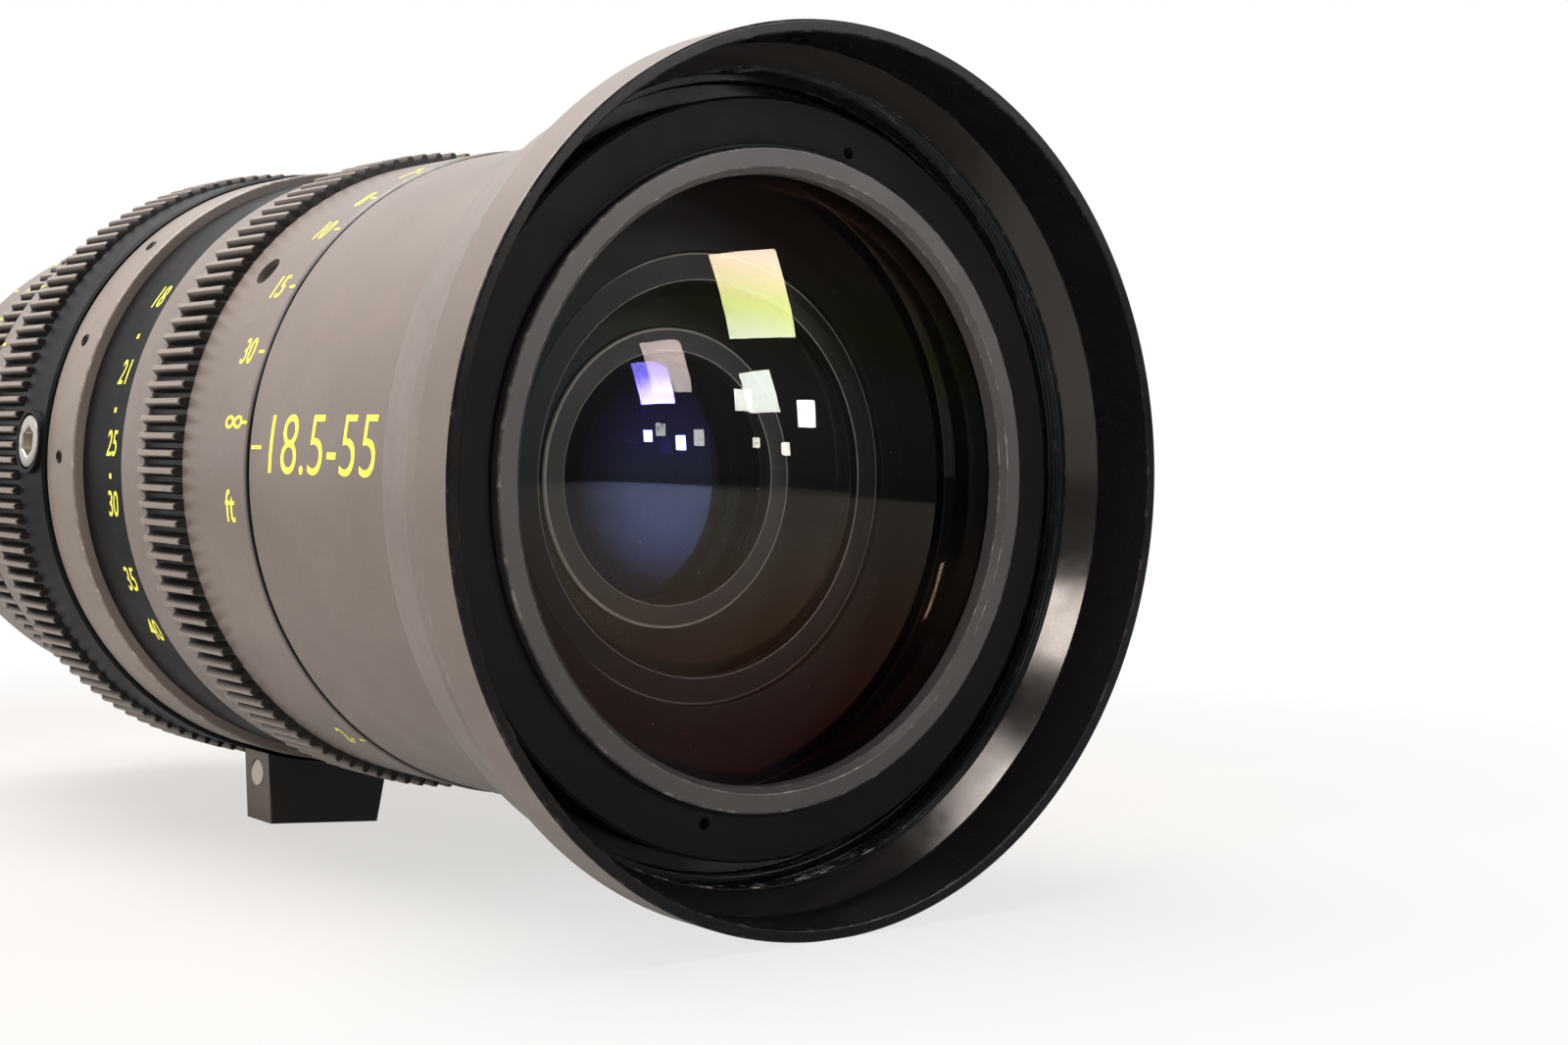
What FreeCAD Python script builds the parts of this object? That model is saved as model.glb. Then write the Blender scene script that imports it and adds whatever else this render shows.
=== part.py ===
import FreeCAD, Part

import math
import os
import re

import Sketcher

Vector = FreeCAD.Vector

# Driving sizes of the zoom lens, in millimetres and degrees
# The optical axis is Y, the front looks along -Y, and Y = 0 is the flange seat.
SIZES = [
    # Lengths along the axis, from the mount forwards
    ("plate_thickness", 4.5),
    ("shim_thickness", 0.5),
    ("rear_barrel_length", 10.0),
    ("iris_collar_length", 15.0),
    ("iris_gear_width", 10.5),
    ("index_band_length", 8.0),
    ("zoom_collar_length", 14.5),
    ("zoom_gear_width", 13.5),
    ("rear_band_length", 11.0),
    ("support_ring_length", 11.0),
    ("centre_band_length", 16.0),
    ("focus_collar_length", 8.0),
    ("focus_gear_width", 13.0),
    ("focus_land_length", 20.6),
    ("front_barrel_length", 44.0),
    ("hood_length", 25.5),
    ("ring_gap", 0.4),
    ("running_clearance", 0.05),
    ("seat_clearance", 0.2),
    ("slide_clearance", 0.3),
    # Flared front
    ("rim_radius", 57.0),
    ("rim_wall", 1.6),
    ("land_length", 7.0),
    ("wall_depth", 9.5),
    ("flare_step", 2.2),
    ("flare_wall", 1.8),
    ("flare_edge_depth", 13.0),
    ("shoulder_step", 4.1),
    ("shoulder_wall", 1.3),
    ("shoulder_depth", 22.0),
    ("thread_step", 1.4),
    ("thread_start_depth", 13.6),
    ("thread_end_depth", 17.5),
    ("groove_width", 2.2),
    ("groove_depth", 20.0),
    ("bezel_width", 6.0),
    ("bezel_depth", 14.0),
    ("spanner_hole_radius", 0.8),
    ("spanner_hole_depth", 2.5),
    ("spanner_hole_margin", 4.6),
    ("spanner_hole_angle", 10.2),
    # Barrels and bands
    ("barrel_wall", 2.9),
    ("cell_nose_wall", 0.5),
    ("cell_nose_step", 1.2),
    ("tube_radius", 44.0),
    ("tube_wall", 2.5),
    ("tube_overlap", 21.5),
    ("tube_step", 4.0),
    ("tube_tail", 3.0),
    ("centre_band_wall", 4.2),
    ("support_ring_wall", 5.8),
    ("rear_band_wall", 6.5),
    ("index_band_wall", 5.0),
    ("rear_barrel_wall", 3.0),
    ("rear_cone_radius", 36.0),
    ("rear_cone_length", 2.5),
    ("edge_chamfer", 0.4),
    # Geared rings
    ("gear_module", 0.8),
    ("tooth_depth", 1.9),
    ("focus_gear_wall", 5.6),
    ("zoom_gear_wall", 7.6),
    ("iris_gear_wall", 5.6),
    ("gear_seat_depth", 1.6),
    ("focus_land_wall", 3.9),
    ("focus_collar_wall", 4.6),
    ("zoom_collar_wall", 4.0),
    ("iris_collar_wall", 3.6),
    ("focus_range", 304.0),
    ("zoom_range", 120.0),
    ("iris_range", 75.0),
    ("slot_margin", 6.0),
    ("key_radius", 2.0),
    ("set_screw_radius", 2.0),
    ("set_screw_offset", 7.5),
    ("set_screw_angle", 57.6),
    ("set_screw_floor", 1.5),
    ("set_screw_sink", 0.8),
    ("key_cap", 1.2),
    ("iris_key_cap", 1.5),
    ("iris_key_radius", 0.8),
    ("iris_key_reach", 4.0),
    ("blind_wall", 1.0),
    # Glass and its rings
    ("front_glass_radius", 42.6),
    ("front_glass_vertex", 8.9),
    ("front_glass_curve", 118.0),
    ("front_glass_centre", 4.0),
    ("front_glass_hollow", 50.0),
    ("front_glass_aperture", 36.0),
    ("retaining_ring_inner", 40.3),
    ("retaining_ring_lip", 39.5),
    ("retaining_ring_depth", 12.6),
    ("retaining_ring_bevel", 0.9),
    ("retaining_ring_length", 3.0),
    ("second_glass_radius", 30.2),
    ("second_glass_gap", 2.8),
    ("second_glass_centre", 2.5),
    ("second_glass_hollow", 70.0),
    ("second_glass_aperture", 25.0),
    ("second_ring_inner", 26.8),
    ("second_ring_length", 1.8),
    ("third_glass_radius", 20.5),
    ("third_glass_curve", 60.0),
    ("third_glass_edge", 3.8),
    ("third_ring_inner", 17.55),
    ("third_ring_length", 2.6),
    ("third_ring_step", 0.7),
    ("third_glass_gap", 1.2),
    ("cell_floor", 2.0),
    # Moving groups
    ("cam_wall", 3.0),
    ("focus_cell_length", 15.0),
    ("focus_tail_length", 14.0),
    ("focus_cell_start", 4.0),
    ("focus_travel", 5.0),
    ("focus_cam_length", 22.0),
    ("focus_glass_radius", 24.0),
    ("group_gap", 6.0),
    ("variator_start", 3.0),
    ("variator_travel", 20.0),
    ("variator_glass_radius", 20.0),
    ("compensator_start", 11.0),
    ("compensator_travel", 8.0),
    ("compensator_glass_radius", 18.0),
    ("carriage_length", 12.0),
    ("moving_glass_centre", 5.0),
    ("moving_glass_curve", 55.0),
    ("moving_glass_rim", 2.2),
    ("stop_gap", 1.0),
    # Iris
    ("iris_blades", 8),
    ("iris_base_offset", 4.4),
    ("iris_base_thickness", 2.0),
    ("aperture_margin", 16.0),
    ("blade_thickness", 0.2),
    ("blade_pitch", 0.5),
    ("blade_inner_margin", 14.0),
    ("blade_outer_margin", 3.5),
    ("blade_sweep", 100.0),
    ("pivot_margin", 4.5),
    ("pivot_radius", 0.8),
    ("pivot_setback", 0.3),
    ("ear_radius", 2.0),
    ("rotor_thickness", 2.0),
    # Rear group and mount
    ("rear_cell_radius", 24.0),
    ("rear_disc_thickness", 3.0),
    ("rear_disc_gap", 3.6),
    ("relay_setback", 4.0),
    ("rear_cell_reach", 12.0),
    ("rear_glass_radius", 20.0),
    ("rear_glass_length", 6.0),
    ("rear_glass_curve", 48.0),
    ("rear_ring_length", 2.0),
    ("rear_ring_width", 1.8),
    ("spigot_radius", 27.0),
    ("spigot_length", 15.0),
    ("neck_radius", 30.8),
    ("tab_radius", 35.5),
    ("tab_notch_width", 20.0),
    ("tab_count", 4),
    ("pin_slot_width", 3.2),
    ("pin_slot_depth", 2.6),
    ("pin_slot_angle", 45.0),
    ("mount_screw_circle", 28.8),
    ("mount_screw_radius", 0.8),
    ("mount_screw_head", 1.5),
    ("mount_screw_head_depth", 1.2),
    ("mount_screw_length", 8.0),
    # Support foot and side screw
    ("foot_height", 11.2),
    ("foot_half_width", 10.0),
    ("foot_half_width_top", 12.0),
    ("foot_length", 9.0),
    ("foot_offset", 3.3),
    ("foot_thread_radius", 2.55),
    ("foot_thread_depth", 8.0),
    ("foot_screw_drop", 2.3),
    ("foot_screw_radius", 2.2),
    ("foot_screw_recess", 1.6),
    ("boss_radius", 5.6),
    ("boss_height", 0.6),
    ("cap_screw_head", 4.25),
    ("cap_screw_head_height", 2.4),
    ("cap_screw_shank", 2.5),
    ("cap_screw_socket", 1.9),
    # How far a cutting shape runs past the surface that it cuts
    ("overrun", 1.0),
]

# Sizes that follow from the driving ones
DERIVED = {
    "front_pocket_radius": "front_glass_radius + slide_clearance",
    "cell_nose_radius": "front_pocket_radius + cell_nose_wall",
    "cell_radius": "cell_nose_radius + cell_nose_step",
    "bezel_radius": "cell_nose_radius + bezel_width",
    "spanner_circle_radius": "bezel_radius - spanner_hole_margin",
    "groove_radius": "bezel_radius + groove_width",
    "thread_radius": "groove_radius + thread_step",
    "flare_edge_radius": "max(rim_radius - flare_step; thread_radius + flare_wall)",
    "shoulder_radius": "max(rim_radius - shoulder_step; groove_radius + shoulder_wall)",
    "barrel_radius": "max(cell_radius; tube_radius) + barrel_wall",
    "rear_tube_radius": "tube_radius - tube_step",
    "centre_band_radius": "tube_radius + centre_band_wall",
    "support_ring_radius": "tube_radius + support_ring_wall",
    "rear_band_radius": "tube_radius + rear_band_wall",
    "index_band_radius": "rear_tube_radius + index_band_wall",
    "rear_barrel_radius": "rear_tube_radius + rear_barrel_wall",
    "focus_land_radius": "tube_radius + focus_land_wall",
    "focus_collar_radius": "tube_radius + focus_collar_wall",
    "zoom_collar_radius": "tube_radius + zoom_collar_wall",
    "iris_collar_radius": "rear_tube_radius + iris_collar_wall",
    "focus_teeth": "round(2 * (tube_radius + focus_gear_wall) / gear_module) - 2",
    "zoom_teeth": "round(2 * (tube_radius + zoom_gear_wall) / gear_module) - 2",
    "iris_teeth": "round(2 * (rear_tube_radius + iris_gear_wall) / gear_module) - 2",
    "cam_sleeve_length": "variator_start + variator_travel + group_gap"
    " + compensator_travel + compensator_start + 2 * carriage_length",
    "pivot_circle": "rear_tube_radius - tube_wall - pivot_margin",
    "blade_inner": "pivot_circle - blade_inner_margin",
    "blade_outer": "pivot_circle - blade_outer_margin",
    "iris_aperture": "pivot_circle - aperture_margin",
    "foot_drop": "support_ring_radius + foot_height",
}

document = FreeCAD.newDocument("zoom_lens")
sheet = document.addObject("Spreadsheet::Sheet", "Sizes")
for row, (alias, value) in enumerate(SIZES, start=1):
    sheet.set(f"A{row}", str(value))
    sheet.setAlias(f"A{row}", alias)
document.recompute()
ALIASES = {alias for alias, _ in SIZES}


def cells(formula):
    """Turn a formula in size names into one that reads the sheet's cells."""

    def reading(word):
        name = word.group()
        if name in ALIASES:
            return f"Sizes.{name}"
        return f"({cells(DERIVED[name])})" if name in DERIVED else name

    return re.sub(r"[a-z][a-z_]+", reading, str(formula))


def number(formula):
    """The present value of a formula in size names."""
    value = sheet.evalExpression(cells(formula))
    return float(getattr(value, "Value", value))


def bind(thing, attribute, formula):
    """Drive one property of an object by a formula in size names."""
    thing.setExpression(attribute, cells(formula))


def origin_feature(body, role):
    """One of a body's own origin planes or axes."""
    return next(item for item in body.Origin.OriginFeatures if item.Role == role)


def new_sketch(body, name, role):
    """An empty sketch on one of the body's own origin planes."""
    sketch = body.newObject("Sketcher::SketchObject", name)
    sketch.AttachmentSupport = [(origin_feature(body, role), "")]
    sketch.MapMode = "FlatFace"
    return sketch


def pin_point(sketch, edge, end, across, up):
    """Hold one end of an edge at a place given by two formulas."""
    for kind, formula in (("DistanceX", across), ("DistanceY", up)):
        index = sketch.addConstraint(Sketcher.Constraint(kind, edge, end, number(formula)))
        bind(sketch, f"Constraints[{index}]", formula)


def outline(sketch, points):
    """A closed outline of straight edges through points given as formula pairs."""
    places = [Vector(number(across), number(up), 0) for across, up in points]
    count = len(points)
    first = sketch.GeometryCount
    for index in range(count):
        sketch.addGeometry(Part.LineSegment(places[index], places[(index + 1) % count]), False)
    for index in range(count):
        following = first + (index + 1) % count
        sketch.addConstraint(Sketcher.Constraint("Coincident", first + index, 2, following, 1))
    for index, (across, up) in enumerate(points):
        pin_point(sketch, first + index, 1, across, up)


def add_body(name):
    """A new body whose label is the sub-part's name."""
    body = document.addObject("PartDesign::Body", f"{name}_body")
    body.Label = name
    return body


def turn(body, sketch, kind="PartDesign::Revolution", name="turned", angle="360"):
    """Revolve a sketch about the optical axis."""
    feature = body.newObject(kind, name)
    feature.Profile = sketch
    feature.ReferenceAxis = (sketch, ["V_Axis"])
    bind(feature, "Angle", angle)
    return feature


def turned(name, points):
    """A round piece turned from a profile of (radius, place on the axis) formulas."""
    body = add_body(name)
    sketch = new_sketch(body, f"{name}_profile", "XY_Plane")
    outline(sketch, points)
    turn(body, sketch, name=f"{name}_turned")
    return body


def ring(name, inner, outer, front, back, chamfer="0"):
    """A plain ring between two radii and two places, with its outer edges broken."""
    if chamfer == "0":
        return turned(name, [(inner, front), (outer, front), (outer, back), (inner, back)])
    return turned(
        name,
        [
            (inner, front),
            (f"{outer} - {chamfer}", front),
            (outer, f"{front} + {chamfer}"),
            (outer, f"{back} - {chamfer}"),
            (f"{outer} - {chamfer}", back),
            (inner, back),
        ],
    )


def round_pattern(body, features, count, name):
    """Repeat features evenly about the optical axis."""
    pattern = body.newObject("PartDesign::PolarPattern", name)
    pattern.Originals = features
    pattern.Axis = (origin_feature(body, "Y_Axis"), [""])
    pattern.Angle = 360
    bind(pattern, "Occurrences", count)
    body.Tip = pattern
    return pattern


def axial_pocket(body, name, depth, start, draw):
    """Cut a sketch into a body along the axis from one station."""
    sketch = new_sketch(body, f"{name}_sketch", "XZ_Plane")
    draw(sketch)
    bind(sketch, "AttachmentOffset.Base.z", f"-({start})")
    document.recompute()
    before = body.Shape.Volume
    pocket = body.newObject("PartDesign::Pocket", name)
    pocket.Profile = sketch
    bind(pocket, "Length", depth)
    document.recompute()
    if not body.Shape.Volume < before - 1e-3:
        raise RuntimeError(f"{name} cuts nothing")
    return pocket


def stud(name, radius, start, length, across, up, base_y):
    """A cylinder along the axis at a place across it."""
    post = document.addObject("Part::Cylinder", name)
    bind(post, "Radius", radius)
    bind(post, "Height", length)
    post.Placement = FreeCAD.Placement(Vector(0, 0, 0), FreeCAD.Rotation(Vector(1, 0, 0), -90))
    bind(post, "Placement.Base.x", across)
    bind(post, "Placement.Base.y", f"{base_y} + {start}")
    bind(post, "Placement.Base.z", up)
    return post


def radial_pin(name, radius, inner, outer, place, angle):
    """A cylinder that points away from the axis, at an angle from the top towards -X."""
    pin = document.addObject("Part::Cylinder", name)
    bind(pin, "Radius", radius)
    bind(pin, "Height", f"{outer} - ({inner})")
    pin.Placement = FreeCAD.Placement(Vector(0, 0, 0), FreeCAD.Rotation(Vector(0, 1, 0), -90))
    bind(pin, "Placement.Rotation.Angle", f"360 - ({angle})")
    bind(pin, "Placement.Base.x", f"-({inner}) * sin({angle})")
    bind(pin, "Placement.Base.y", place)
    bind(pin, "Placement.Base.z", f"({inner}) * cos({angle})")
    return pin


def fused(name, pieces):
    """Several shapes as one tool or one sub-part."""
    union = document.addObject("Part::MultiFuse", f"{name}_union")
    union.Shapes = pieces
    union.Label = name
    return union


def drilled(name, base, tools):
    """A sub-part with cutting shapes taken out of it, which takes over the name."""
    base.Label = f"{name}_blank"
    cut = document.addObject("Part::Cut", f"{name}_cut")
    cut.Base = base
    cut.Tool = tools[0] if len(tools) == 1 else fused(f"{name}_tools", tools)
    cut.Label = name
    return cut


# Stations along the axis: each is the front face of the piece it names
chain = "0"
station = {}
for piece, length in (
    ("plate", "plate_thickness"),
    ("shim", "shim_thickness"),
    ("rear_barrel", "rear_barrel_length"),
    ("iris_end", "ring_gap"),
    ("iris_collar", "iris_collar_length"),
    ("iris_gear", "iris_gear_width"),
    ("index_end", "ring_gap"),
    ("index_band", "index_band_length"),
    ("zoom_end", "ring_gap"),
    ("zoom_collar", "zoom_collar_length"),
    ("zoom_gear", "zoom_gear_width"),
    ("rear_band_end", "ring_gap"),
    ("rear_band", "rear_band_length"),
    ("support_ring", "support_ring_length"),
    ("centre_band", "centre_band_length"),
    ("focus_end", "ring_gap"),
    ("focus_collar", "focus_collar_length"),
    ("focus_gear", "focus_gear_width"),
    ("focus_land", "focus_land_length"),
    ("front_barrel_end", "ring_gap"),
    ("front_barrel", "front_barrel_length"),
    ("rim", "hood_length"),
):
    chain = f"{chain} - {length}"
    station[piece] = chain


def depth(formula):
    """A place given by its depth behind the front rim."""
    return f"{station['rim']} + {formula}"


parts = {}

# Flared front, which carries the matte box outside and the filter thread inside
parts["front_hood"] = turned(
    "front_hood",
    [
        ("rim_radius - rim_wall", depth("0")),
        ("rim_radius", depth("0")),
        ("rim_radius", depth("land_length")),
        ("flare_edge_radius", depth("flare_edge_depth")),
        ("shoulder_radius", depth("shoulder_depth")),
        ("barrel_radius", station["front_barrel"]),
        ("cell_radius", station["front_barrel"]),
        ("cell_radius", depth("groove_depth")),
        ("groove_radius", depth("groove_depth")),
        ("groove_radius", depth("thread_end_depth")),
        ("thread_radius", depth("thread_end_depth")),
        ("thread_radius", depth("thread_start_depth")),
        ("rim_radius - rim_wall", depth("wall_depth")),
    ],
)

# Bezel with its two spanner holes
bezel = turned(
    "front_bezel",
    [
        ("cell_nose_radius", depth("bezel_depth")),
        ("bezel_radius - edge_chamfer", depth("bezel_depth")),
        ("bezel_radius", depth("bezel_depth + edge_chamfer")),
        ("bezel_radius", depth("groove_depth")),
        ("cell_nose_radius", depth("groove_depth")),
    ],
)
spanner_holes = [
    stud(f"spanner_hole_{side}", "spanner_hole_radius", "0", "spanner_hole_depth",
         f"{sign} * spanner_circle_radius * sin(spanner_hole_angle)",
         f"{sign} * spanner_circle_radius * cos(spanner_hole_angle)",
         depth("bezel_depth"))
    for side, sign in (("upper", "1"), ("lower", "-1"))
]
parts["front_bezel"] = drilled("front_bezel", bezel, spanner_holes)

# Front cell: three pockets for glass, each behind the one before
first_shelf = "front_glass_vertex + front_glass_centre + front_glass_hollow" \
    " - sqrt(front_glass_hollow ^ 2 - front_glass_aperture ^ 2)"
second_face = f"{first_shelf} + second_glass_gap"
second_shelf = f"{second_face} + second_glass_centre + second_glass_hollow" \
    " - sqrt(second_glass_hollow ^ 2 - second_glass_aperture ^ 2)"
third_sag = "(third_glass_curve - sqrt(third_glass_curve ^ 2 - third_glass_radius ^ 2))"
third_ring_back = f"{second_shelf} - third_ring_step + third_ring_length"
third_rim = f"{third_ring_back} + third_glass_gap"
third_shelf = f"{third_rim} + third_glass_edge"
cell_back = f"{third_shelf} + cell_floor"
front_pocket = "front_pocket_radius"
second_pocket = "second_glass_radius + slide_clearance"
third_pocket = "third_glass_radius + slide_clearance"
parts["front_cell"] = turned(
    "front_cell",
    [
        (front_pocket, depth("bezel_depth")),
        ("cell_nose_radius", depth("bezel_depth")),
        ("cell_nose_radius", depth("groove_depth")),
        ("cell_radius", depth("groove_depth")),
        ("cell_radius", depth(cell_back)),
        ("third_ring_inner", depth(cell_back)),
        ("third_ring_inner", depth(third_shelf)),
        (third_pocket, depth(third_shelf)),
        (third_pocket, depth(second_shelf)),
        (second_pocket, depth(second_shelf)),
        (second_pocket, depth(first_shelf)),
        (front_pocket, depth(first_shelf)),
    ],
)
parts["front_retaining_ring"] = turned(
    "front_retaining_ring",
    [
        ("retaining_ring_inner", depth("retaining_ring_depth")),
        (front_pocket, depth("retaining_ring_depth")),
        (front_pocket, depth("retaining_ring_depth + retaining_ring_length")),
        ("retaining_ring_lip", depth("retaining_ring_depth + retaining_ring_length")),
        ("retaining_ring_lip", depth("retaining_ring_depth + retaining_ring_bevel")),
    ],
)
parts["second_retaining_ring"] = ring(
    "second_retaining_ring", "second_ring_inner", second_pocket,
    depth(f"{second_face} - second_ring_length"), depth(second_face),
)
parts["third_retaining_ring"] = ring(
    "third_retaining_ring", "third_ring_inner", third_pocket,
    depth(f"{second_shelf} - third_ring_step"), depth(third_ring_back),
)


def ball(name, radius, centre):
    """A ball centred on the optical axis."""
    sphere = document.addObject("Part::Sphere", name)
    bind(sphere, "Radius", radius)
    bind(sphere, "Placement.Base.y", centre)
    return sphere


def dished_glass(name, radius, vertex, curve, centre, hollow, aperture):
    """A glass with a bulged or flat front and a hollow back.

    A cylinder is kept where it meets the ball of its front curve, and the ball of its hollow
    is taken out of the back, which leaves a flat rim outside the aperture.
    """
    back_rim = f"{centre} + {hollow} - sqrt({hollow} ^ 2 - {aperture} ^ 2)"
    blank = stud(f"{name}_disc", radius, "0", back_rim, "0", "0", vertex)
    if curve is not None:
        front = document.addObject("Part::Common", f"{name}_bulged")
        front.Base = blank
        front.Tool = ball(f"{name}_front_ball", curve, f"{vertex} + {curve}")
        blank = front
    glass = document.addObject("Part::Cut", name)
    glass.Base = blank
    glass.Tool = ball(f"{name}_hollow_ball", hollow, f"{vertex} + {centre} + {hollow}")
    glass.Label = name
    return glass


parts["front_element"] = dished_glass(
    "front_element", "front_glass_radius", depth("front_glass_vertex"), "front_glass_curve",
    "front_glass_centre", "front_glass_hollow", "front_glass_aperture",
)
parts["second_element"] = dished_glass(
    "second_element", "second_glass_radius", depth(second_face), None,
    "second_glass_centre", "second_glass_hollow", "second_glass_aperture",
)


def bulged_glass(name, radius, rim_front, curve, edge):
    """A glass with a bulged front and a flat back: a ball cap on a short cylinder."""
    body = add_body(name)
    sketch = new_sketch(body, f"{name}_profile", "XY_Plane")
    rise = f"({curve} - sqrt({curve} ^ 2 - {radius} ^ 2))"
    vertex = f"{rim_front} - {rise}"
    back = f"{rim_front} + {edge}"
    top = Vector(0, number(vertex), 0)
    shoulder = Vector(number(radius), number(rim_front), 0)
    heel = Vector(number(radius), number(back), 0)
    middle_radius = number(radius) / 2
    bulge = number(curve)
    crown = Vector(
        middle_radius, top.y + bulge - math.sqrt(bulge ** 2 - middle_radius ** 2), 0
    )
    arc = sketch.addGeometry(Part.Arc(top, crown, shoulder), False)
    begin, end = (1, 2) if sketch.Geometry[arc].StartPoint.isEqual(top, 1e-6) else (2, 1)
    rim = sketch.addGeometry(Part.LineSegment(shoulder, heel), False)
    flat = sketch.addGeometry(Part.LineSegment(heel, Vector(0, heel.y, 0)), False)
    axis = sketch.addGeometry(Part.LineSegment(Vector(0, heel.y, 0), top), False)
    for one, one_end, other, other_end in (
        (arc, end, rim, 1), (rim, 2, flat, 1), (flat, 2, axis, 1), (axis, 2, arc, begin),
    ):
        sketch.addConstraint(Sketcher.Constraint("Coincident", one, one_end, other, other_end))
    pin_point(sketch, arc, 3, "0", f"{vertex} + {curve}")
    pin_point(sketch, axis, 2, "0", vertex)
    pin_point(sketch, axis, 1, "0", back)
    index = sketch.addConstraint(Sketcher.Constraint("DistanceX", rim, 1, number(radius)))
    bind(sketch, f"Constraints[{index}]", radius)
    sketch.addConstraint(Sketcher.Constraint("Vertical", rim))
    sketch.addConstraint(Sketcher.Constraint("Horizontal", flat))
    turn(body, sketch, name=f"{name}_turned")
    return body


parts["third_element"] = bulged_glass(
    "third_element", "third_glass_radius", depth(third_rim), "third_glass_curve",
    "third_glass_edge",
)

# Front barrel and the main tube that every ring turns on
tube_front = f"{station['front_barrel_end']} - tube_overlap"
tube_bore = "tube_radius - tube_wall"
rear_tube_bore = "rear_tube_radius - tube_wall"
parts["front_barrel"] = turned(
    "front_barrel",
    [
        ("cell_radius", station["front_barrel"]),
        ("barrel_radius", station["front_barrel"]),
        ("barrel_radius", f"{station['front_barrel_end']}"),
        ("tube_radius", f"{station['front_barrel_end']}"),
        ("tube_radius", tube_front),
        ("cell_radius", tube_front),
    ],
)
tube_back = f"{station['rear_barrel']} + tube_tail"
main_tube = turned(
    "main_tube",
    [
        (tube_bore, tube_front),
        ("tube_radius", tube_front),
        ("tube_radius", station["index_band"]),
        ("rear_tube_radius", station["index_band"]),
        ("rear_tube_radius", tube_back),
        (rear_tube_bore, tube_back),
        (rear_tube_bore, f"{station['index_band']} - tube_wall"),
        (tube_bore, f"{station['index_band']} - tube_wall"),
    ],
)

# Places of the keys that join each ring to the part it turns inside the tube
focus_cell_front = f"{tube_front} + focus_cell_start"
focus_cam_front = f"{focus_cell_front} + focus_cell_length + focus_travel + stop_gap"
focus_cam_back = f"{focus_cam_front} + focus_cam_length"
focus_key_place = f"{station['focus_land']} + key_radius * 3"
zoom_key_place = f"{station['zoom_gear']} + key_radius * 3"
iris_base_front = f"{station['iris_gear']} + iris_base_offset"
iris_base_back = f"{iris_base_front} + iris_base_thickness"
blade_front = f"{iris_base_back} + blade_pitch"
rotor_front = f"{blade_front} + iris_blades * blade_pitch + blade_pitch"
iris_key_place = f"{rotor_front} + rotor_thickness / 2"
focus_key_angle = "(270 - slot_margin - focus_range)"
zoom_key_angle = "(270 - slot_margin - zoom_range)"
iris_key_angle = "(270 - slot_margin - iris_range)"


def key_slot(name, place, half_width, inner, outer, sweep):
    """A slot round the main tube, through which a key turns."""
    sketch = new_sketch(main_tube, f"{name}_sketch", "XY_Plane")
    outline(
        sketch,
        [
            (f"{inner} - overrun", f"{place} - {half_width}"),
            (f"{outer} + overrun", f"{place} - {half_width}"),
            (f"{outer} + overrun", f"{place} + {half_width}"),
            (f"{inner} - overrun", f"{place} + {half_width}"),
        ],
    )
    document.recompute()
    before = main_tube.Shape.Volume
    turn(main_tube, sketch, "PartDesign::Groove", name, f"{sweep} + 2 * slot_margin")
    document.recompute()
    if not main_tube.Shape.Volume < before - 1:
        raise RuntimeError(f"{name} cuts nothing")


key_slot("focus_slot", focus_key_place, "(key_radius + slide_clearance)",
         tube_bore, "tube_radius", "focus_range")
key_slot("zoom_slot", zoom_key_place, "(key_radius + slide_clearance)",
         tube_bore, "tube_radius", "zoom_range")
key_slot("iris_slot", iris_key_place, "(iris_key_radius + slide_clearance)",
         rear_tube_bore, "rear_tube_radius", "iris_range")
parts["main_tube"] = main_tube

# Fixed bands round the tube
parts["centre_band"] = ring(
    "centre_band", "tube_radius", "centre_band_radius", station["centre_band"],
    station["support_ring"], "edge_chamfer",
)
parts["support_ring"] = ring(
    "support_ring", "tube_radius", "support_ring_radius", station["support_ring"],
    station["rear_band"], "edge_chamfer",
)
boss_place = f"({station['rear_band']} + rear_band_length / 2)"
rear_band = ring(
    "rear_band", "tube_radius", "rear_band_radius", station["rear_band"],
    f"{station['rear_band_end']}", "edge_chamfer",
)
parts["index_band"] = ring(
    "index_band", "rear_tube_radius", "index_band_radius", station["index_band"],
    f"{station['index_end']}", "edge_chamfer",
)

# Round boss and cap screw on the side of the rear band
boss_top = "rear_band_radius + boss_height"
boss_hole = radial_pin("boss_hole", "boss_radius - edge_chamfer", "tube_radius - overrun",
                       f"{boss_top} + overrun", boss_place, "90")
parts["rear_band"] = drilled("rear_band", rear_band, [boss_hole])
boss_blank = radial_pin("side_boss", "boss_radius - edge_chamfer", "tube_radius", boss_top,
                        boss_place, "90")
boss_recess = radial_pin("boss_recess", "cap_screw_head + slide_clearance",
                         f"{boss_top} - cap_screw_head_height", f"{boss_top} + overrun",
                         boss_place, "90")
boss_bore = radial_pin("boss_bore", "cap_screw_shank", "tube_radius + blind_wall",
                       f"{boss_top} + overrun", boss_place, "90")
parts["side_boss"] = drilled("side_boss", boss_blank, [boss_recess, boss_bore])
screw_head = radial_pin("cap_screw_head_blank", "cap_screw_head",
                        f"{boss_top} - cap_screw_head_height", boss_top, boss_place, "90")
screw_shank = radial_pin("cap_screw_shank_blank", "cap_screw_shank", "tube_radius + blind_wall",
                         f"{boss_top} - cap_screw_head_height / 2", boss_place, "90")
screw_socket = radial_pin("cap_screw_socket_hole", "cap_screw_socket",
                          f"{boss_top} - cap_screw_head_height / 2", f"{boss_top} + overrun",
                          boss_place, "90")
parts["side_screw"] = drilled(
    "side_screw", fused("side_screw_blank", [screw_head, screw_shank]), [screw_socket]
)


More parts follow.
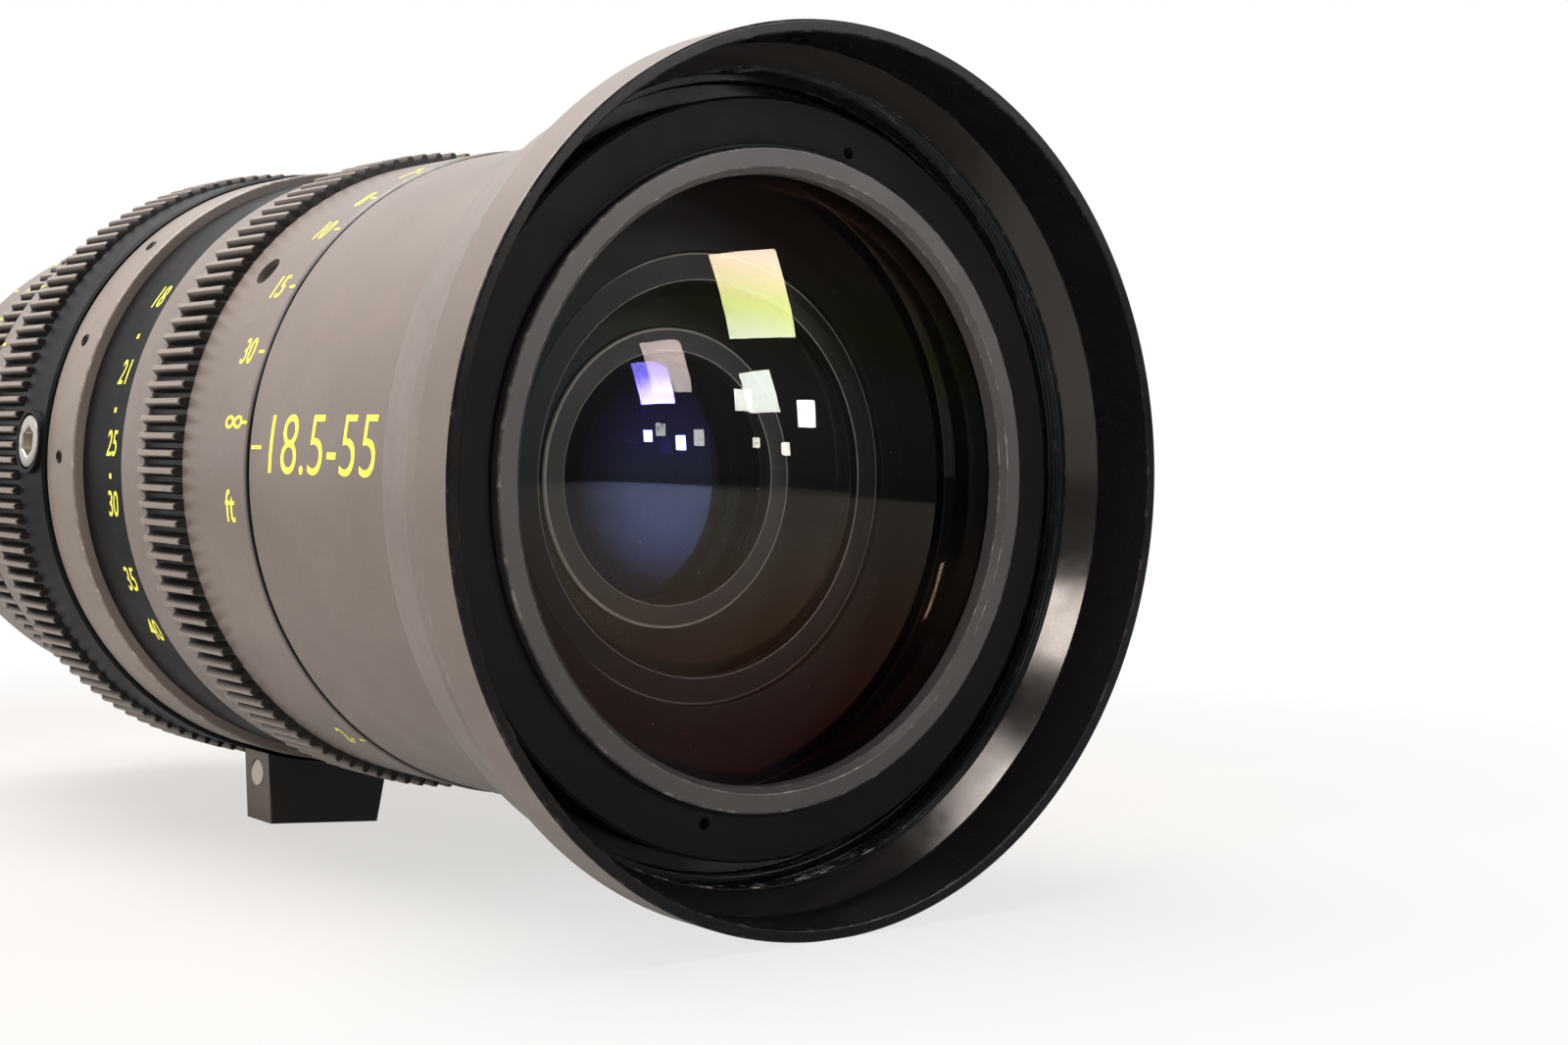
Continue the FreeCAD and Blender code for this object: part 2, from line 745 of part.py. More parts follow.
def toothed_ring(name, teeth, bore, front, width):
    """A gear ring: straight-sided teeth of the module, pushed along the axis.

    Each tooth has a flat crest, two flanks sloped at 20 degrees and a flat root.
    """
    count = int(number(teeth))
    module = number("gear_module")
    crest = module * (count + 2) / 2
    pitch = module * count / 2
    root = crest - number("tooth_depth")
    slope = math.tan(math.radians(20))
    half_pitch_tooth = math.pi * module / 4
    half_crest = half_pitch_tooth - (crest - pitch) * slope
    half_root = half_pitch_tooth + (pitch - root) * slope
    points = []
    for index in range(count):
        middle = 2 * math.pi * index / count
        for radius, half in (
            (root, -half_root), (crest, -half_crest), (crest, half_crest), (root, half_root),
        ):
            angle = middle + half / radius
            points.append(Vector(radius * math.sin(angle), 0, radius * math.cos(angle)))
    points.append(points[0])
    rim = Part.makePolygon(points)
    hole = Part.Wire(Part.makeCircle(number(bore), Vector(0, 0, 0), Vector(0, 1, 0)))
    face = document.addObject("Part::Feature", f"{name}_outline")
    face.Shape = Part.makeFace([rim, hole], "Part::FaceMakerBullseye")
    face.Placement = FreeCAD.Placement(Vector(0, number(front), 0), FreeCAD.Rotation())
    gear = document.addObject("Part::Extrusion", f"{name}_teeth")
    gear.Base = face
    gear.DirMode = "Custom"
    gear.Dir = Vector(0, 1, 0)
    gear.Solid = True
    bind(gear, "LengthFwd", width)
    gear.Label = name
    return gear


def crest_radius(teeth):
    """Radius over the tips of a gear's teeth."""
    return f"(gear_module * ({teeth} + 2) / 2)"


def gear_bore(teeth):
    """Radius of the seat that a gear ring is pushed onto."""
    return f"({crest_radius(teeth)} - tooth_depth - gear_seat_depth)"


# Focus ring: land, gear and collar on one sleeve
ring_bore = "tube_radius + running_clearance"
focus_seat = gear_bore("focus_teeth")
focus_ring = turned(
    "focus_ring",
    [
        (ring_bore, station["focus_land"]),
        ("focus_land_radius - edge_chamfer", station["focus_land"]),
        ("focus_land_radius", f"{station['focus_land']} + edge_chamfer"),
        ("focus_land_radius", station["focus_gear"]),
        (focus_seat, station["focus_gear"]),
        (focus_seat, station["focus_end"]),
        (ring_bore, station["focus_end"]),
    ],
)
parts["focus_gear"] = toothed_ring(
    "focus_gear", "focus_teeth", focus_seat, station["focus_gear"], "focus_gear_width"
)
parts["focus_collar"] = ring(
    "focus_collar", focus_seat, "focus_collar_radius", station["focus_collar"],
    f"{station['focus_end']}", "edge_chamfer",
)
set_screw_place = f"{station['focus_gear']} - set_screw_offset"
set_screw_hole = radial_pin("set_screw_hole", "set_screw_radius + slide_clearance",
                            "tube_radius + set_screw_floor", "focus_land_radius + overrun",
                            set_screw_place, "set_screw_angle")
parts["focus_set_screw"] = radial_pin(
    "focus_set_screw", "set_screw_radius", "tube_radius + set_screw_floor",
    "focus_land_radius - set_screw_sink", set_screw_place, "set_screw_angle",
)
cam_outer = f"{tube_bore} - running_clearance"
cam_bore = f"{tube_bore} - running_clearance - cam_wall"
focus_key_hole = radial_pin("focus_key_hole", "key_radius", f"{cam_bore} + blind_wall",
                            f"{focus_seat} - key_cap", focus_key_place, focus_key_angle)
parts["focus_ring"] = drilled("focus_ring", focus_ring, [set_screw_hole, focus_key_hole])
focus_cam = ring("focus_cam", cam_bore, cam_outer, focus_cam_front, focus_cam_back)
parts["focus_cam"] = drilled(
    "focus_cam", focus_cam,
    [radial_pin("focus_cam_hole", "key_radius", f"{cam_bore} + blind_wall", "tube_radius",
                focus_key_place, focus_key_angle)],
)
parts["focus_key"] = radial_pin(
    "focus_key", "key_radius", f"{cam_bore} + blind_wall", f"{focus_seat} - key_cap",
    focus_key_place, focus_key_angle,
)

# Zoom ring: gear in front, numbered collar behind, and the cam sleeve inside
zoom_seat = gear_bore("zoom_teeth")
zoom_ring = turned(
    "zoom_ring",
    [
        (ring_bore, station["zoom_gear"]),
        (zoom_seat, station["zoom_gear"]),
        (zoom_seat, station["zoom_collar"]),
        ("zoom_collar_radius", station["zoom_collar"]),
        ("zoom_collar_radius", f"{station['zoom_end']} - edge_chamfer"),
        ("zoom_collar_radius - edge_chamfer", f"{station['zoom_end']}"),
        (ring_bore, f"{station['zoom_end']}"),
    ],
)
parts["zoom_gear"] = toothed_ring(
    "zoom_gear", "zoom_teeth", zoom_seat, station["zoom_gear"], "zoom_gear_width"
)
zoom_key_top = f"{zoom_seat} - key_cap"
parts["zoom_ring"] = drilled(
    "zoom_ring", zoom_ring,
    [radial_pin("zoom_key_hole", "key_radius", f"{cam_bore} + blind_wall", zoom_key_top,
                zoom_key_place, zoom_key_angle)],
)
cam_sleeve_front = f"{focus_cam_back} + stop_gap"
cam_sleeve_back = f"{cam_sleeve_front} + cam_sleeve_length"
cam_sleeve = ring("cam_sleeve", cam_bore, cam_outer, cam_sleeve_front, cam_sleeve_back)
parts["cam_sleeve"] = drilled(
    "cam_sleeve", cam_sleeve,
    [radial_pin("cam_sleeve_hole", "key_radius", f"{cam_bore} + blind_wall", "tube_radius",
                zoom_key_place, zoom_key_angle)],
)
parts["zoom_key"] = radial_pin("zoom_key", "key_radius", f"{cam_bore} + blind_wall", zoom_key_top,
                               zoom_key_place, zoom_key_angle)

# Carriages that slide inside the cams, each with one glass
carriage_radius = f"({cam_bore} - running_clearance)"


def carriage_glass(name, radius, front):
    """The glass in a sliding cell, held between its floor and its rim."""
    return bulged_glass(name, radius, f"{front} + moving_glass_rim + {glass_rise(radius)}",
                        "moving_glass_curve", "moving_glass_centre")


def glass_rise(radius):
    """How far a moving glass bulges before its rim."""
    return f"(moving_glass_curve - sqrt(moving_glass_curve ^ 2 - {radius} ^ 2))"


def carriage(name, radius, front):
    """A sliding cell: a ring with a pocket for its glass and a lip behind it."""
    pocket_back = f"{front} + moving_glass_rim + {glass_rise(radius)} + moving_glass_centre"
    return turned(
        name,
        [
            (f"{radius} + slide_clearance", front),
            (carriage_radius, front),
            (carriage_radius, f"{front} + carriage_length"),
            (f"{radius} - moving_glass_rim", f"{front} + carriage_length"),
            (f"{radius} - moving_glass_rim", pocket_back),
            (f"{radius} + slide_clearance", pocket_back),
        ],
    )


focus_pocket = "focus_glass_radius + slide_clearance"
focus_glass_back = f"{focus_cell_front} + moving_glass_rim + {glass_rise('focus_glass_radius')}" \
    " + moving_glass_centre"
parts["focus_cell"] = turned(
    "focus_cell",
    [
        (focus_pocket, focus_cell_front),
        (cam_outer, focus_cell_front),
        (cam_outer, f"{focus_cell_front} + focus_cell_length"),
        (carriage_radius, f"{focus_cell_front} + focus_cell_length"),
        (carriage_radius, f"{focus_cell_front} + focus_cell_length + focus_tail_length"),
        (f"{carriage_radius} - tube_wall",
         f"{focus_cell_front} + focus_cell_length + focus_tail_length"),
        (f"{carriage_radius} - tube_wall", f"{focus_cell_front} + focus_cell_length"),
        ("focus_glass_radius - moving_glass_rim", f"{focus_cell_front} + focus_cell_length"),
        ("focus_glass_radius - moving_glass_rim", focus_glass_back),
        (focus_pocket, focus_glass_back),
    ],
)
parts["focus_element"] = carriage_glass("focus_element", "focus_glass_radius", focus_cell_front)
variator_front = f"{cam_sleeve_front} + variator_start"
parts["variator_cell"] = carriage("variator_cell", "variator_glass_radius", variator_front)
parts["variator_element"] = carriage_glass(
    "variator_element", "variator_glass_radius", variator_front
)
compensator_front = f"{cam_sleeve_back} - compensator_start - carriage_length"
parts["compensator_cell"] = carriage(
    "compensator_cell", "compensator_glass_radius", compensator_front
)
parts["compensator_element"] = carriage_glass(
    "compensator_element", "compensator_glass_radius", compensator_front
)

# Iris ring with its gear in front and its scale collar behind
iris_bore = "rear_tube_radius + running_clearance"
iris_seat = gear_bore("iris_teeth")
iris_ring = turned(
    "iris_ring",
    [
        (iris_bore, station["iris_gear"]),
        (iris_seat, station["iris_gear"]),
        (iris_seat, station["iris_collar"]),
        ("iris_collar_radius", station["iris_collar"]),
        ("iris_collar_radius", f"{station['iris_end']} - edge_chamfer"),
        ("iris_collar_radius - edge_chamfer", f"{station['iris_end']}"),
        (iris_bore, f"{station['iris_end']}"),
    ],
)
parts["iris_gear"] = toothed_ring(
    "iris_gear", "iris_teeth", iris_seat, station["iris_gear"], "iris_gear_width"
)
iris_inner = f"{rear_tube_bore} - running_clearance - iris_key_reach"
parts["iris_ring"] = drilled(
    "iris_ring", iris_ring,
    [radial_pin("iris_key_hole", "iris_key_radius", iris_inner, "rear_tube_radius + iris_key_cap",
                iris_key_place, iris_key_angle)],
)
parts["iris_key"] = radial_pin("iris_key", "iris_key_radius", iris_inner,
                               "rear_tube_radius + iris_key_cap", iris_key_place, iris_key_angle)
rotor = ring("iris_rotor", "iris_aperture", f"{rear_tube_bore} - running_clearance",
             rotor_front, f"{rotor_front} + rotor_thickness")
parts["iris_rotor"] = drilled(
    "iris_rotor", rotor,
    [radial_pin("rotor_key_hole", "iris_key_radius", iris_inner, "rear_tube_radius",
                iris_key_place, iris_key_angle)],
)

# Iris base plate with a pivot hole for each blade
blade_count = int(number("iris_blades"))
iris_base = ring("iris_base", "iris_aperture", rear_tube_bore, iris_base_front, iris_base_back)
pivot_holes = []
for index in range(blade_count):
    bearing = f"(360 / iris_blades * {index})"
    across = f"pivot_circle * sin({bearing})"
    up = f"pivot_circle * cos({bearing})"
    pivot_holes.append(
        stud(f"pivot_hole_{index + 1}", "pivot_radius + running_clearance", "-overrun",
             "iris_base_thickness + 2 * overrun", across, up, iris_base_front)
    )
parts["iris_base"] = drilled("iris_base", iris_base, pivot_holes)


def iris_blade(index):
    """One crescent blade with an ear and a pivot stud, in its own layer of the stack.

    The crescent is a sector of a flat ring. The ear is a round end at the pivot circle, and
    the stud reaches forwards into the base plate.
    """
    name = f"iris_blade_{index + 1}"
    turn_to = 360 / number("iris_blades") * index
    face = number(blade_front) + number("blade_pitch") * index
    thickness = number("blade_thickness")
    inner = number("blade_inner")
    outer = number("blade_outer")
    ear = number("ear_radius")
    reach = number("pivot_circle")
    along = Vector(0, 1, 0)
    origin = Vector(0, face, 0)
    sector = Part.makeCylinder(outer, thickness, origin, along, number("blade_sweep"))
    sector = sector.cut(Part.makeCylinder(inner, thickness * 3, origin - along * thickness, along))
    sector.rotate(Vector(0, 0, 0), along, -90)
    web = Part.makeBox(2 * ear, thickness, reach - inner - ear,
                       Vector(-ear, face, inner + ear))
    tip = Part.makeCylinder(ear, thickness, Vector(0, face, reach), along)
    post_front = number(iris_base_front) + number("pivot_setback")
    post = Part.makeCylinder(
        number("pivot_radius"), face + thickness / 2 - post_front,
        Vector(0, post_front, reach), along,
    )
    shape = sector.fuse([web, tip, post]).removeSplitter()
    blade = document.addObject("Part::Feature", name)
    blade.Shape = shape
    blade.Placement = FreeCAD.Placement(Vector(0, 0, 0), FreeCAD.Rotation(along, turn_to))
    blade.Label = name
    return blade


for index in range(blade_count):
    parts[f"iris_blade_{index + 1}"] = iris_blade(index)

# Rear cell with its two glasses and the rear retaining ring
rear_disc_front = f"{rotor_front} + rotor_thickness + rear_disc_gap"
rear_cell_back = "rear_cell_reach"
rear_pocket = "rear_glass_radius + slide_clearance"
rear_floor = f"{rear_disc_front} + rear_glass_length + relay_setback"
rear_lip_radius = "(rear_glass_radius - rear_ring_width)"
rear_seat = f"{rear_cell_back} - rear_ring_length - rear_glass_length"
rear_lip = f"{rear_seat} - running_clearance - sqrt(rear_glass_curve ^ 2 - {rear_lip_radius} ^ 2)" \
    " + sqrt(rear_glass_curve ^ 2 - rear_glass_radius ^ 2)"
parts["rear_cell"] = turned(
    "rear_cell",
    [
        (rear_pocket, rear_disc_front),
        (rear_tube_bore, rear_disc_front),
        (rear_tube_bore, f"{rear_disc_front} + rear_disc_thickness"),
        ("rear_cell_radius", f"{rear_disc_front} + rear_disc_thickness"),
        ("rear_cell_radius", rear_cell_back),
        (rear_pocket, rear_cell_back),
        (rear_pocket, rear_lip),
        (rear_lip_radius, rear_lip),
        (rear_lip_radius, rear_floor),
        (rear_pocket, rear_floor),
    ],
)
parts["relay_element"] = bulged_glass(
    "relay_element", "rear_glass_radius", f"{rear_floor} - rear_glass_length",
    "rear_glass_curve", "rear_glass_length",
)
parts["rear_element"] = bulged_glass(
    "rear_element", "rear_glass_radius", f"{rear_seat}", "rear_glass_curve",
    "rear_glass_length",
)
parts["rear_retaining_ring"] = ring(
    "rear_retaining_ring", rear_lip_radius, rear_pocket,
    f"{rear_cell_back} - rear_ring_length", rear_cell_back,
)

# Rear barrel, shim and the four-tab mount plate with its spigot
rear_bore = "rear_cell_radius + seat_clearance"
rear_barrel = turned(
    "rear_barrel",
    [
        ("rear_tube_radius", station["rear_barrel"]),
        ("rear_barrel_radius", station["rear_barrel"]),
        ("rear_barrel_radius", tube_back),
        ("rear_cone_radius", f"{tube_back} + rear_cone_length"),
        ("neck_radius", f"{tube_back} + rear_cone_length"),
        ("neck_radius", station["shim"]),
        (rear_bore, station["shim"]),
        (rear_bore, tube_back),
        ("rear_tube_radius", tube_back),
    ],
)
mount_shim = ring("mount_shim", rear_bore, "neck_radius", station["shim"], station["plate"])
mount_plate = turned(
    "mount_plate",
    [
        (rear_bore, station["plate"]),
        ("tab_radius", station["plate"]),
        ("tab_radius", "0"),
        ("spigot_radius", "0"),
        ("spigot_radius", "spigot_length"),
        (rear_bore, "spigot_length"),
    ],
)


def notch_outline(sketch):
    """The gap between two tabs of the mount plate, a box across the rim."""
    outline(
        sketch,
        [
            ("-tab_notch_width / 2", "neck_radius"),
            ("tab_notch_width / 2", "neck_radius"),
            ("tab_notch_width / 2", "tab_radius + overrun"),
            ("-tab_notch_width / 2", "tab_radius + overrun"),
        ],
    )


tab_gap = axial_pocket(
    mount_plate, "tab_gap", "plate_thickness + 2 * overrun", "-(plate_thickness + overrun)",
    notch_outline,
)
round_pattern(mount_plate, [tab_gap], "tab_count", "tab_gaps")
document.recompute()
pin_slot = document.addObject("Part::Box", "pin_slot")
bind(pin_slot, "Length", "pin_slot_width")
bind(pin_slot, "Width", "plate_thickness + 2 * overrun")
bind(pin_slot, "Height", "pin_slot_depth + overrun")
pin_slot.Placement = FreeCAD.Placement(
    Vector(0, 0, 0), FreeCAD.Rotation(Vector(0, 1, 0), number("pin_slot_angle"))
)
bind(pin_slot, "Placement.Rotation.Angle", "pin_slot_angle")
slot_reach = "(tab_radius - pin_slot_depth)"
bind(pin_slot, "Placement.Base.x",
     f"{slot_reach} * sin(pin_slot_angle) - pin_slot_width / 2 * cos(pin_slot_angle)")
bind(pin_slot, "Placement.Base.y", "-(plate_thickness + overrun)")
bind(pin_slot, "Placement.Base.z",
     f"{slot_reach} * cos(pin_slot_angle) + pin_slot_width / 2 * sin(pin_slot_angle)")
plate_tools = [pin_slot]
shim_tools = []
barrel_tools = []
screws = []
for index in range(int(number("tab_count"))):
    bearing = f"(360 / tab_count * {index})"
    across = f"mount_screw_circle * sin({bearing})"
    up = f"mount_screw_circle * cos({bearing})"
    head = ("mount_screw_head", "-mount_screw_head_depth", "mount_screw_head_depth")
    shank = ("mount_screw_radius", "-mount_screw_length",
             "mount_screw_length - mount_screw_head_depth")
    screws.append(stud(f"screw_head_{index}", *head, across, up, "0"))
    screws.append(stud(f"screw_shank_{index}", *shank, across, up, "0"))
    plate_tools.append(stud(f"head_recess_{index}", "mount_screw_head + running_clearance",
                            "-mount_screw_head_depth", "mount_screw_head_depth + overrun",
                            across, up, "0"))
    for tools, what in ((plate_tools, "plate"), (shim_tools, "shim"), (barrel_tools, "barrel")):
        tools.append(stud(f"{what}_screw_hole_{index}", *shank, across, up, "0"))
parts["mount_plate"] = drilled("mount_plate", mount_plate, plate_tools)
parts["mount_shim"] = drilled("mount_shim", mount_shim, shim_tools)
parts["rear_barrel"] = drilled("rear_barrel", rear_barrel, barrel_tools)
parts["mount_screws"] = fused("mount_screws", screws)

# Support foot: a tapered block hollowed to sit on the support ring
foot = add_body("support_foot")
foot_sketch = new_sketch(foot, "foot_sketch", "XZ_Plane")
outline(
    foot_sketch,
    [
        ("-foot_half_width", "-foot_drop"),
        ("foot_half_width", "-foot_drop"),
        ("foot_half_width_top", "-tube_radius"),
        ("-foot_half_width_top", "-tube_radius"),
    ],
)
foot_front = f"({station['support_ring']} + foot_offset)"
bind(foot_sketch, "AttachmentOffset.Base.z", f"-({foot_front})")
foot_pad = foot.newObject("PartDesign::Pad", "foot_pad")
foot_pad.Profile = foot_sketch
bind(foot_pad, "Length", "foot_length")
foot_pad.Reversed = True
document.recompute()
foot_saddle = document.addObject("Part::Cylinder", "foot_saddle")
bind(foot_saddle, "Radius", "rear_band_radius")
bind(foot_saddle, "Height", "foot_length + 2 * overrun")
foot_saddle.Placement = FreeCAD.Placement(
    Vector(0, 0, 0), FreeCAD.Rotation(Vector(1, 0, 0), -90)
)
bind(foot_saddle, "Placement.Base.y", f"{foot_front} - overrun")
foot_middle = f"({foot_front} + foot_length / 2)"
foot_thread = document.addObject("Part::Cylinder", "foot_thread")
bind(foot_thread, "Radius", "foot_thread_radius")
bind(foot_thread, "Height", "foot_thread_depth + overrun")
bind(foot_thread, "Placement.Base.y", foot_middle)
bind(foot_thread, "Placement.Base.z", "-foot_drop - overrun")
screw_level = "(-rear_band_radius - foot_screw_drop)"
foot_side = f"(foot_half_width + (foot_half_width_top - foot_half_width)" \
    f" * (foot_drop + {screw_level}) / (foot_drop - tube_radius))"
foot_tools = [foot_saddle, foot_thread]
foot_screws = []
for side, sign, turned_by in (("left", "-1", -90), ("right", "1", 90)):
    for purpose, length, start in (
        ("recess", "foot_screw_recess + 2 * overrun", f"({foot_side} - foot_screw_recess)"),
        ("head", "foot_screw_recess", f"({foot_side} - foot_screw_recess)"),
    ):
        disc = document.addObject("Part::Cylinder", f"foot_screw_{purpose}_{side}")
        bind(disc, "Radius", "foot_screw_radius")
        bind(disc, "Height", length)
        disc.Placement = FreeCAD.Placement(
            Vector(0, 0, 0), FreeCAD.Rotation(Vector(0, 1, 0), turned_by)
        )
        bind(disc, "Placement.Base.x", f"{sign} * {start}")
        bind(disc, "Placement.Base.y", foot_middle)
        bind(disc, "Placement.Base.z", screw_level)
        if purpose == "recess":
            foot_tools.append(disc)
        else:
            foot_screws.append(disc)
parts["support_foot"] = drilled("support_foot", foot, foot_tools)
parts["foot_screws"] = fused("foot_screws", foot_screws)

document.recompute()

# Every object has to be sound before anything is written
faults = [item.Name for item in document.Objects if {"Invalid", "Error"} & set(item.State)]
if faults:
    raise RuntimeError(f"failed objects: {faults}")
os.makedirs("parts", exist_ok=True)
for name, piece in parts.items():
    shape = piece.Shape
    if shape.isNull() or not shape.isValid():
        raise RuntimeError(f"{name} has no valid shape")
    if piece.Label != name:
        raise RuntimeError(f"{name} is labelled {piece.Label}")
for name, piece in parts.items():
    piece.Shape.exportStep(f"parts/{name}.step")
print(f"{len(parts)} sub-parts written")
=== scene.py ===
"""Looks of a cinema zoom lens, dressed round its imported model. All lengths are in metres."""
import math

import bmesh
import bpy
import numpy as np
from mathutils import Matrix, Vector


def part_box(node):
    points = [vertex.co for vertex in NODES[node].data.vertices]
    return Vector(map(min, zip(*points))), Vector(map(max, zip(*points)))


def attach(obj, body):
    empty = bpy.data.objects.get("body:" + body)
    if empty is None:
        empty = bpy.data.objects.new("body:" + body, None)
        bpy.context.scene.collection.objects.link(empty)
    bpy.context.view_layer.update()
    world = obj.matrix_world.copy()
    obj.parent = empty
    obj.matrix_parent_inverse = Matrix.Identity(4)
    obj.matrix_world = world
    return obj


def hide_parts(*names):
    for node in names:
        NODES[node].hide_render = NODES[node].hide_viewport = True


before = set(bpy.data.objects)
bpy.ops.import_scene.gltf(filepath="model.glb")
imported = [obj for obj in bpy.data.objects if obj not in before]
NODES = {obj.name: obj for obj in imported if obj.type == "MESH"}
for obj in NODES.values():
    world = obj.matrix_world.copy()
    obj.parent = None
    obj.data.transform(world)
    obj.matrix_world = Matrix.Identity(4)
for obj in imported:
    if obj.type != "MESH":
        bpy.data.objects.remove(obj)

bpy.context.view_layer.update()

MM = 0.001
TURN = 2 * math.pi

# Segments round the axis
BAND_SEGMENTS = 256
CELL_SEGMENTS = 320
FRONT_SEGMENTS = 384
THREAD_SEGMENTS = 512

# Rounding of a corner that hardly shows, in millimetres
SHARP = 0.1


def front_of(node):
    """Place on the axis of a node's front end."""
    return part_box(node)[0].y


def back_of(node):
    """Place on the axis of a node's rear end."""
    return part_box(node)[1].y


def radius_of(node):
    """Outer radius of a round node."""
    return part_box(node)[1].z


RIM = front_of("front_hood")
RIM_RADIUS = radius_of("front_hood")
BARREL_RADIUS = radius_of("front_barrel")
TUBE_RADIUS = radius_of("main_tube")


def behind(depth):
    """A place on the axis given by its depth behind the rim, in millimetres."""
    return RIM + depth * MM


def srgb(red, green, blue):
    """A colour given as it looks on a screen, 0 to 255, turned linear."""
    values = np.array([red, green, blue]) / 255
    linear = np.where(values <= 0.04045, values / 12.92, ((values + 0.055) / 1.055) ** 2.4)
    return (*[float(v) for v in linear], 1.0)


# Meshes from arrays

def build_mesh(name, points, faces, finishes, finish_of_face=None, edge=None, smooth=True):
    """A closed surface from arrays of corners and faces, turned outwards.

    The volume is the sum over faces of the triple product of three of their corners, and the
    faces are reversed where it comes out negative. The edge values say how much each point
    lies on an edge: for worn edges, for painted highlights on edges, and on the gears for the
    light crests among painted shade.
    """
    points = np.ascontiguousarray(points.reshape(-1, 3), np.float32)
    volume = sum(
        np.einsum("ij,ij->i", points[f[:, 0]],
                  np.cross(points[f[:, k]], points[f[:, k + 1]])).sum()
        for f in faces for k in range(1, f.shape[1] - 1)
    )
    if volume < 0:
        faces = [f[:, ::-1] for f in faces]
    mesh = bpy.data.meshes.new(name)
    mesh.vertices.add(len(points))
    mesh.vertices.foreach_set("co", points.ravel())
    corners = np.concatenate([f.ravel() for f in faces]).astype(np.int32)
    sizes = np.concatenate([np.full(len(f), f.shape[1]) for f in faces])
    starts = np.concatenate([[0], np.cumsum(sizes)[:-1]]).astype(np.int32)
    mesh.loops.add(len(corners))
    mesh.loops.foreach_set("vertex_index", corners)
    mesh.polygons.add(len(sizes))
    mesh.polygons.foreach_set("loop_start", starts)
    mesh.polygons.foreach_set("use_smooth", np.full(len(sizes), smooth))
    if finish_of_face is not None:
        mesh.polygons.foreach_set("material_index", finish_of_face.astype(np.int32))
    mesh.update(calc_edges=True)
    mesh.validate()
    if edge is not None:
        mesh.attributes.new("edge", "FLOAT", "POINT").data.foreach_set(
            "value", edge.astype(np.float32).ravel())
    for finish in finishes:
        mesh.materials.append(finish)
    return link_object(name, mesh)


def link_object(name, data):
    """A new object in the scene."""
    thing = bpy.data.objects.new(name, data)
    bpy.context.scene.collection.objects.link(thing)
    return thing


def add_piece(piece, body, slot, *nodes):
    """Put a piece on its body and hide the nodes that it stands for. The slot is not used."""
    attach(piece, body)
    if nodes:
        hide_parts(*nodes)
    return piece


def angles_round(segments):
    """Equal steps round a full turn, as a column."""
    return np.linspace(0, TURN, segments, endpoint=False)[:, None]


def spin(radius, along, angle):
    """Points at a radius, a place on the axis and an angle from the top towards -X.

    x is minus radius times sine, y is the place, z is radius times cosine.
    """
    radius, along, angle = np.broadcast_arrays(radius, along, angle)
    return np.stack([-radius * np.sin(angle), along, radius * np.cos(angle)], -1)


def round_corners(profile, steps=4, guard=0.02 * MM):
    """Round every corner of a closed profile of (radius, place, rounding, finish).

    An arc of the rounding radius touches both edges at rounding / tan(half the corner), and a
    guard point just outside each end of the arc keeps the straight stretches flat.
    Returns the points, how much each lies on an edge, and the finish of the stretch after it.
    """
    spots, edge, finish = [], [], []
    for index, (radius, place, rounding, which) in enumerate(profile):
        corner = np.array([radius, place])
        before = np.array(profile[index - 1][:2]) - corner
        after = np.array(profile[(index + 1) % len(profile)][:2]) - corner
        reach = min(np.linalg.norm(before), np.linalg.norm(after)) / 2 - guard
        before = before / np.linalg.norm(before)
        after = after / np.linalg.norm(after)
        half = math.acos(max(-1.0, min(1.0, float(before @ after)))) / 2
        trim = min(rounding * MM / math.tan(half), reach * 0.98)
        middle = (before + after) / np.linalg.norm(before + after)
        centre = corner + middle * trim / math.cos(half)
        start, end = corner + before * trim - centre, corner + after * trim - centre
        share = np.linspace(0, 1, steps + 1)[:, None]
        arc = start * (1 - share) + end * share
        arc = centre + arc / np.linalg.norm(arc, axis=1)[:, None] * np.linalg.norm(start)
        spots += [corner + before * (trim + guard), *arc, corner + after * (trim + guard)]
        edge += [0.0] + [1.0] * (steps + 1) + [0.0]
        first_half = 2 + steps // 2
        finish += [profile[index - 1][3]] * first_half + [which] * (steps + 3 - first_half)
    return np.array(spots), np.array(edge), np.array(finish)


def quads_between(turns, rows, closed):
    """Faces of a grid that closes on itself round the turn: each joins four neighbours. The
    last row joins the first one too where closed is true."""
    i, j = np.meshgrid(np.arange(turns), np.arange(rows if closed else rows - 1), indexing="ij")
    i2, j2 = (i + 1) % turns, (j + 1) % rows
    quads = np.stack([i * rows + j, i2 * rows + j, i2 * rows + j2, i * rows + j2], -1)
    return quads.reshape(-1, 4)


def weave(name, points, finishes, edge=None, finish=None):
    """A grid of points closed both ways."""
    faces = [quads_between(*points.shape[:2], closed=True)]
    return build_mesh(name, points, faces, finishes,
                      None if finish is None else finish.ravel(), edge)


def lathe(name, profile, finishes, segments=BAND_SEGMENTS):
    """A ring turned from a closed profile: the profile with rounded corners is carried round
    the optical axis, so that both ways round the surface closes on itself."""
    spots, edge, finish = round_corners(profile)
    points = spin(spots[None, :, 0], spots[None, :, 1], angles_round(segments))
    return weave(name, points, finishes, np.tile(edge, (segments, 1)),
                 np.tile(finish, (segments, 1)))


def capped(name, points, ends, finishes):
    """A grid of points closed round the turn, with a single point at each end of its rows:
    a triangle joins each two neighbours of the first and last rows to that end."""
    turns, rows = points.shape[:2]
    first = turns * rows
    i = np.arange(turns)
    i2 = (i + 1) % turns
    near = np.stack([np.full(turns, first), i2 * rows, i * rows], -1)
    far = np.stack([np.full(turns, first + 1), i * rows + rows - 1, i2 * rows + rows - 1], -1)
    points = np.concatenate([points.reshape(-1, 3), ends])
    return build_mesh(name, points, [quads_between(turns, rows, closed=False), near, far],
                      finishes)


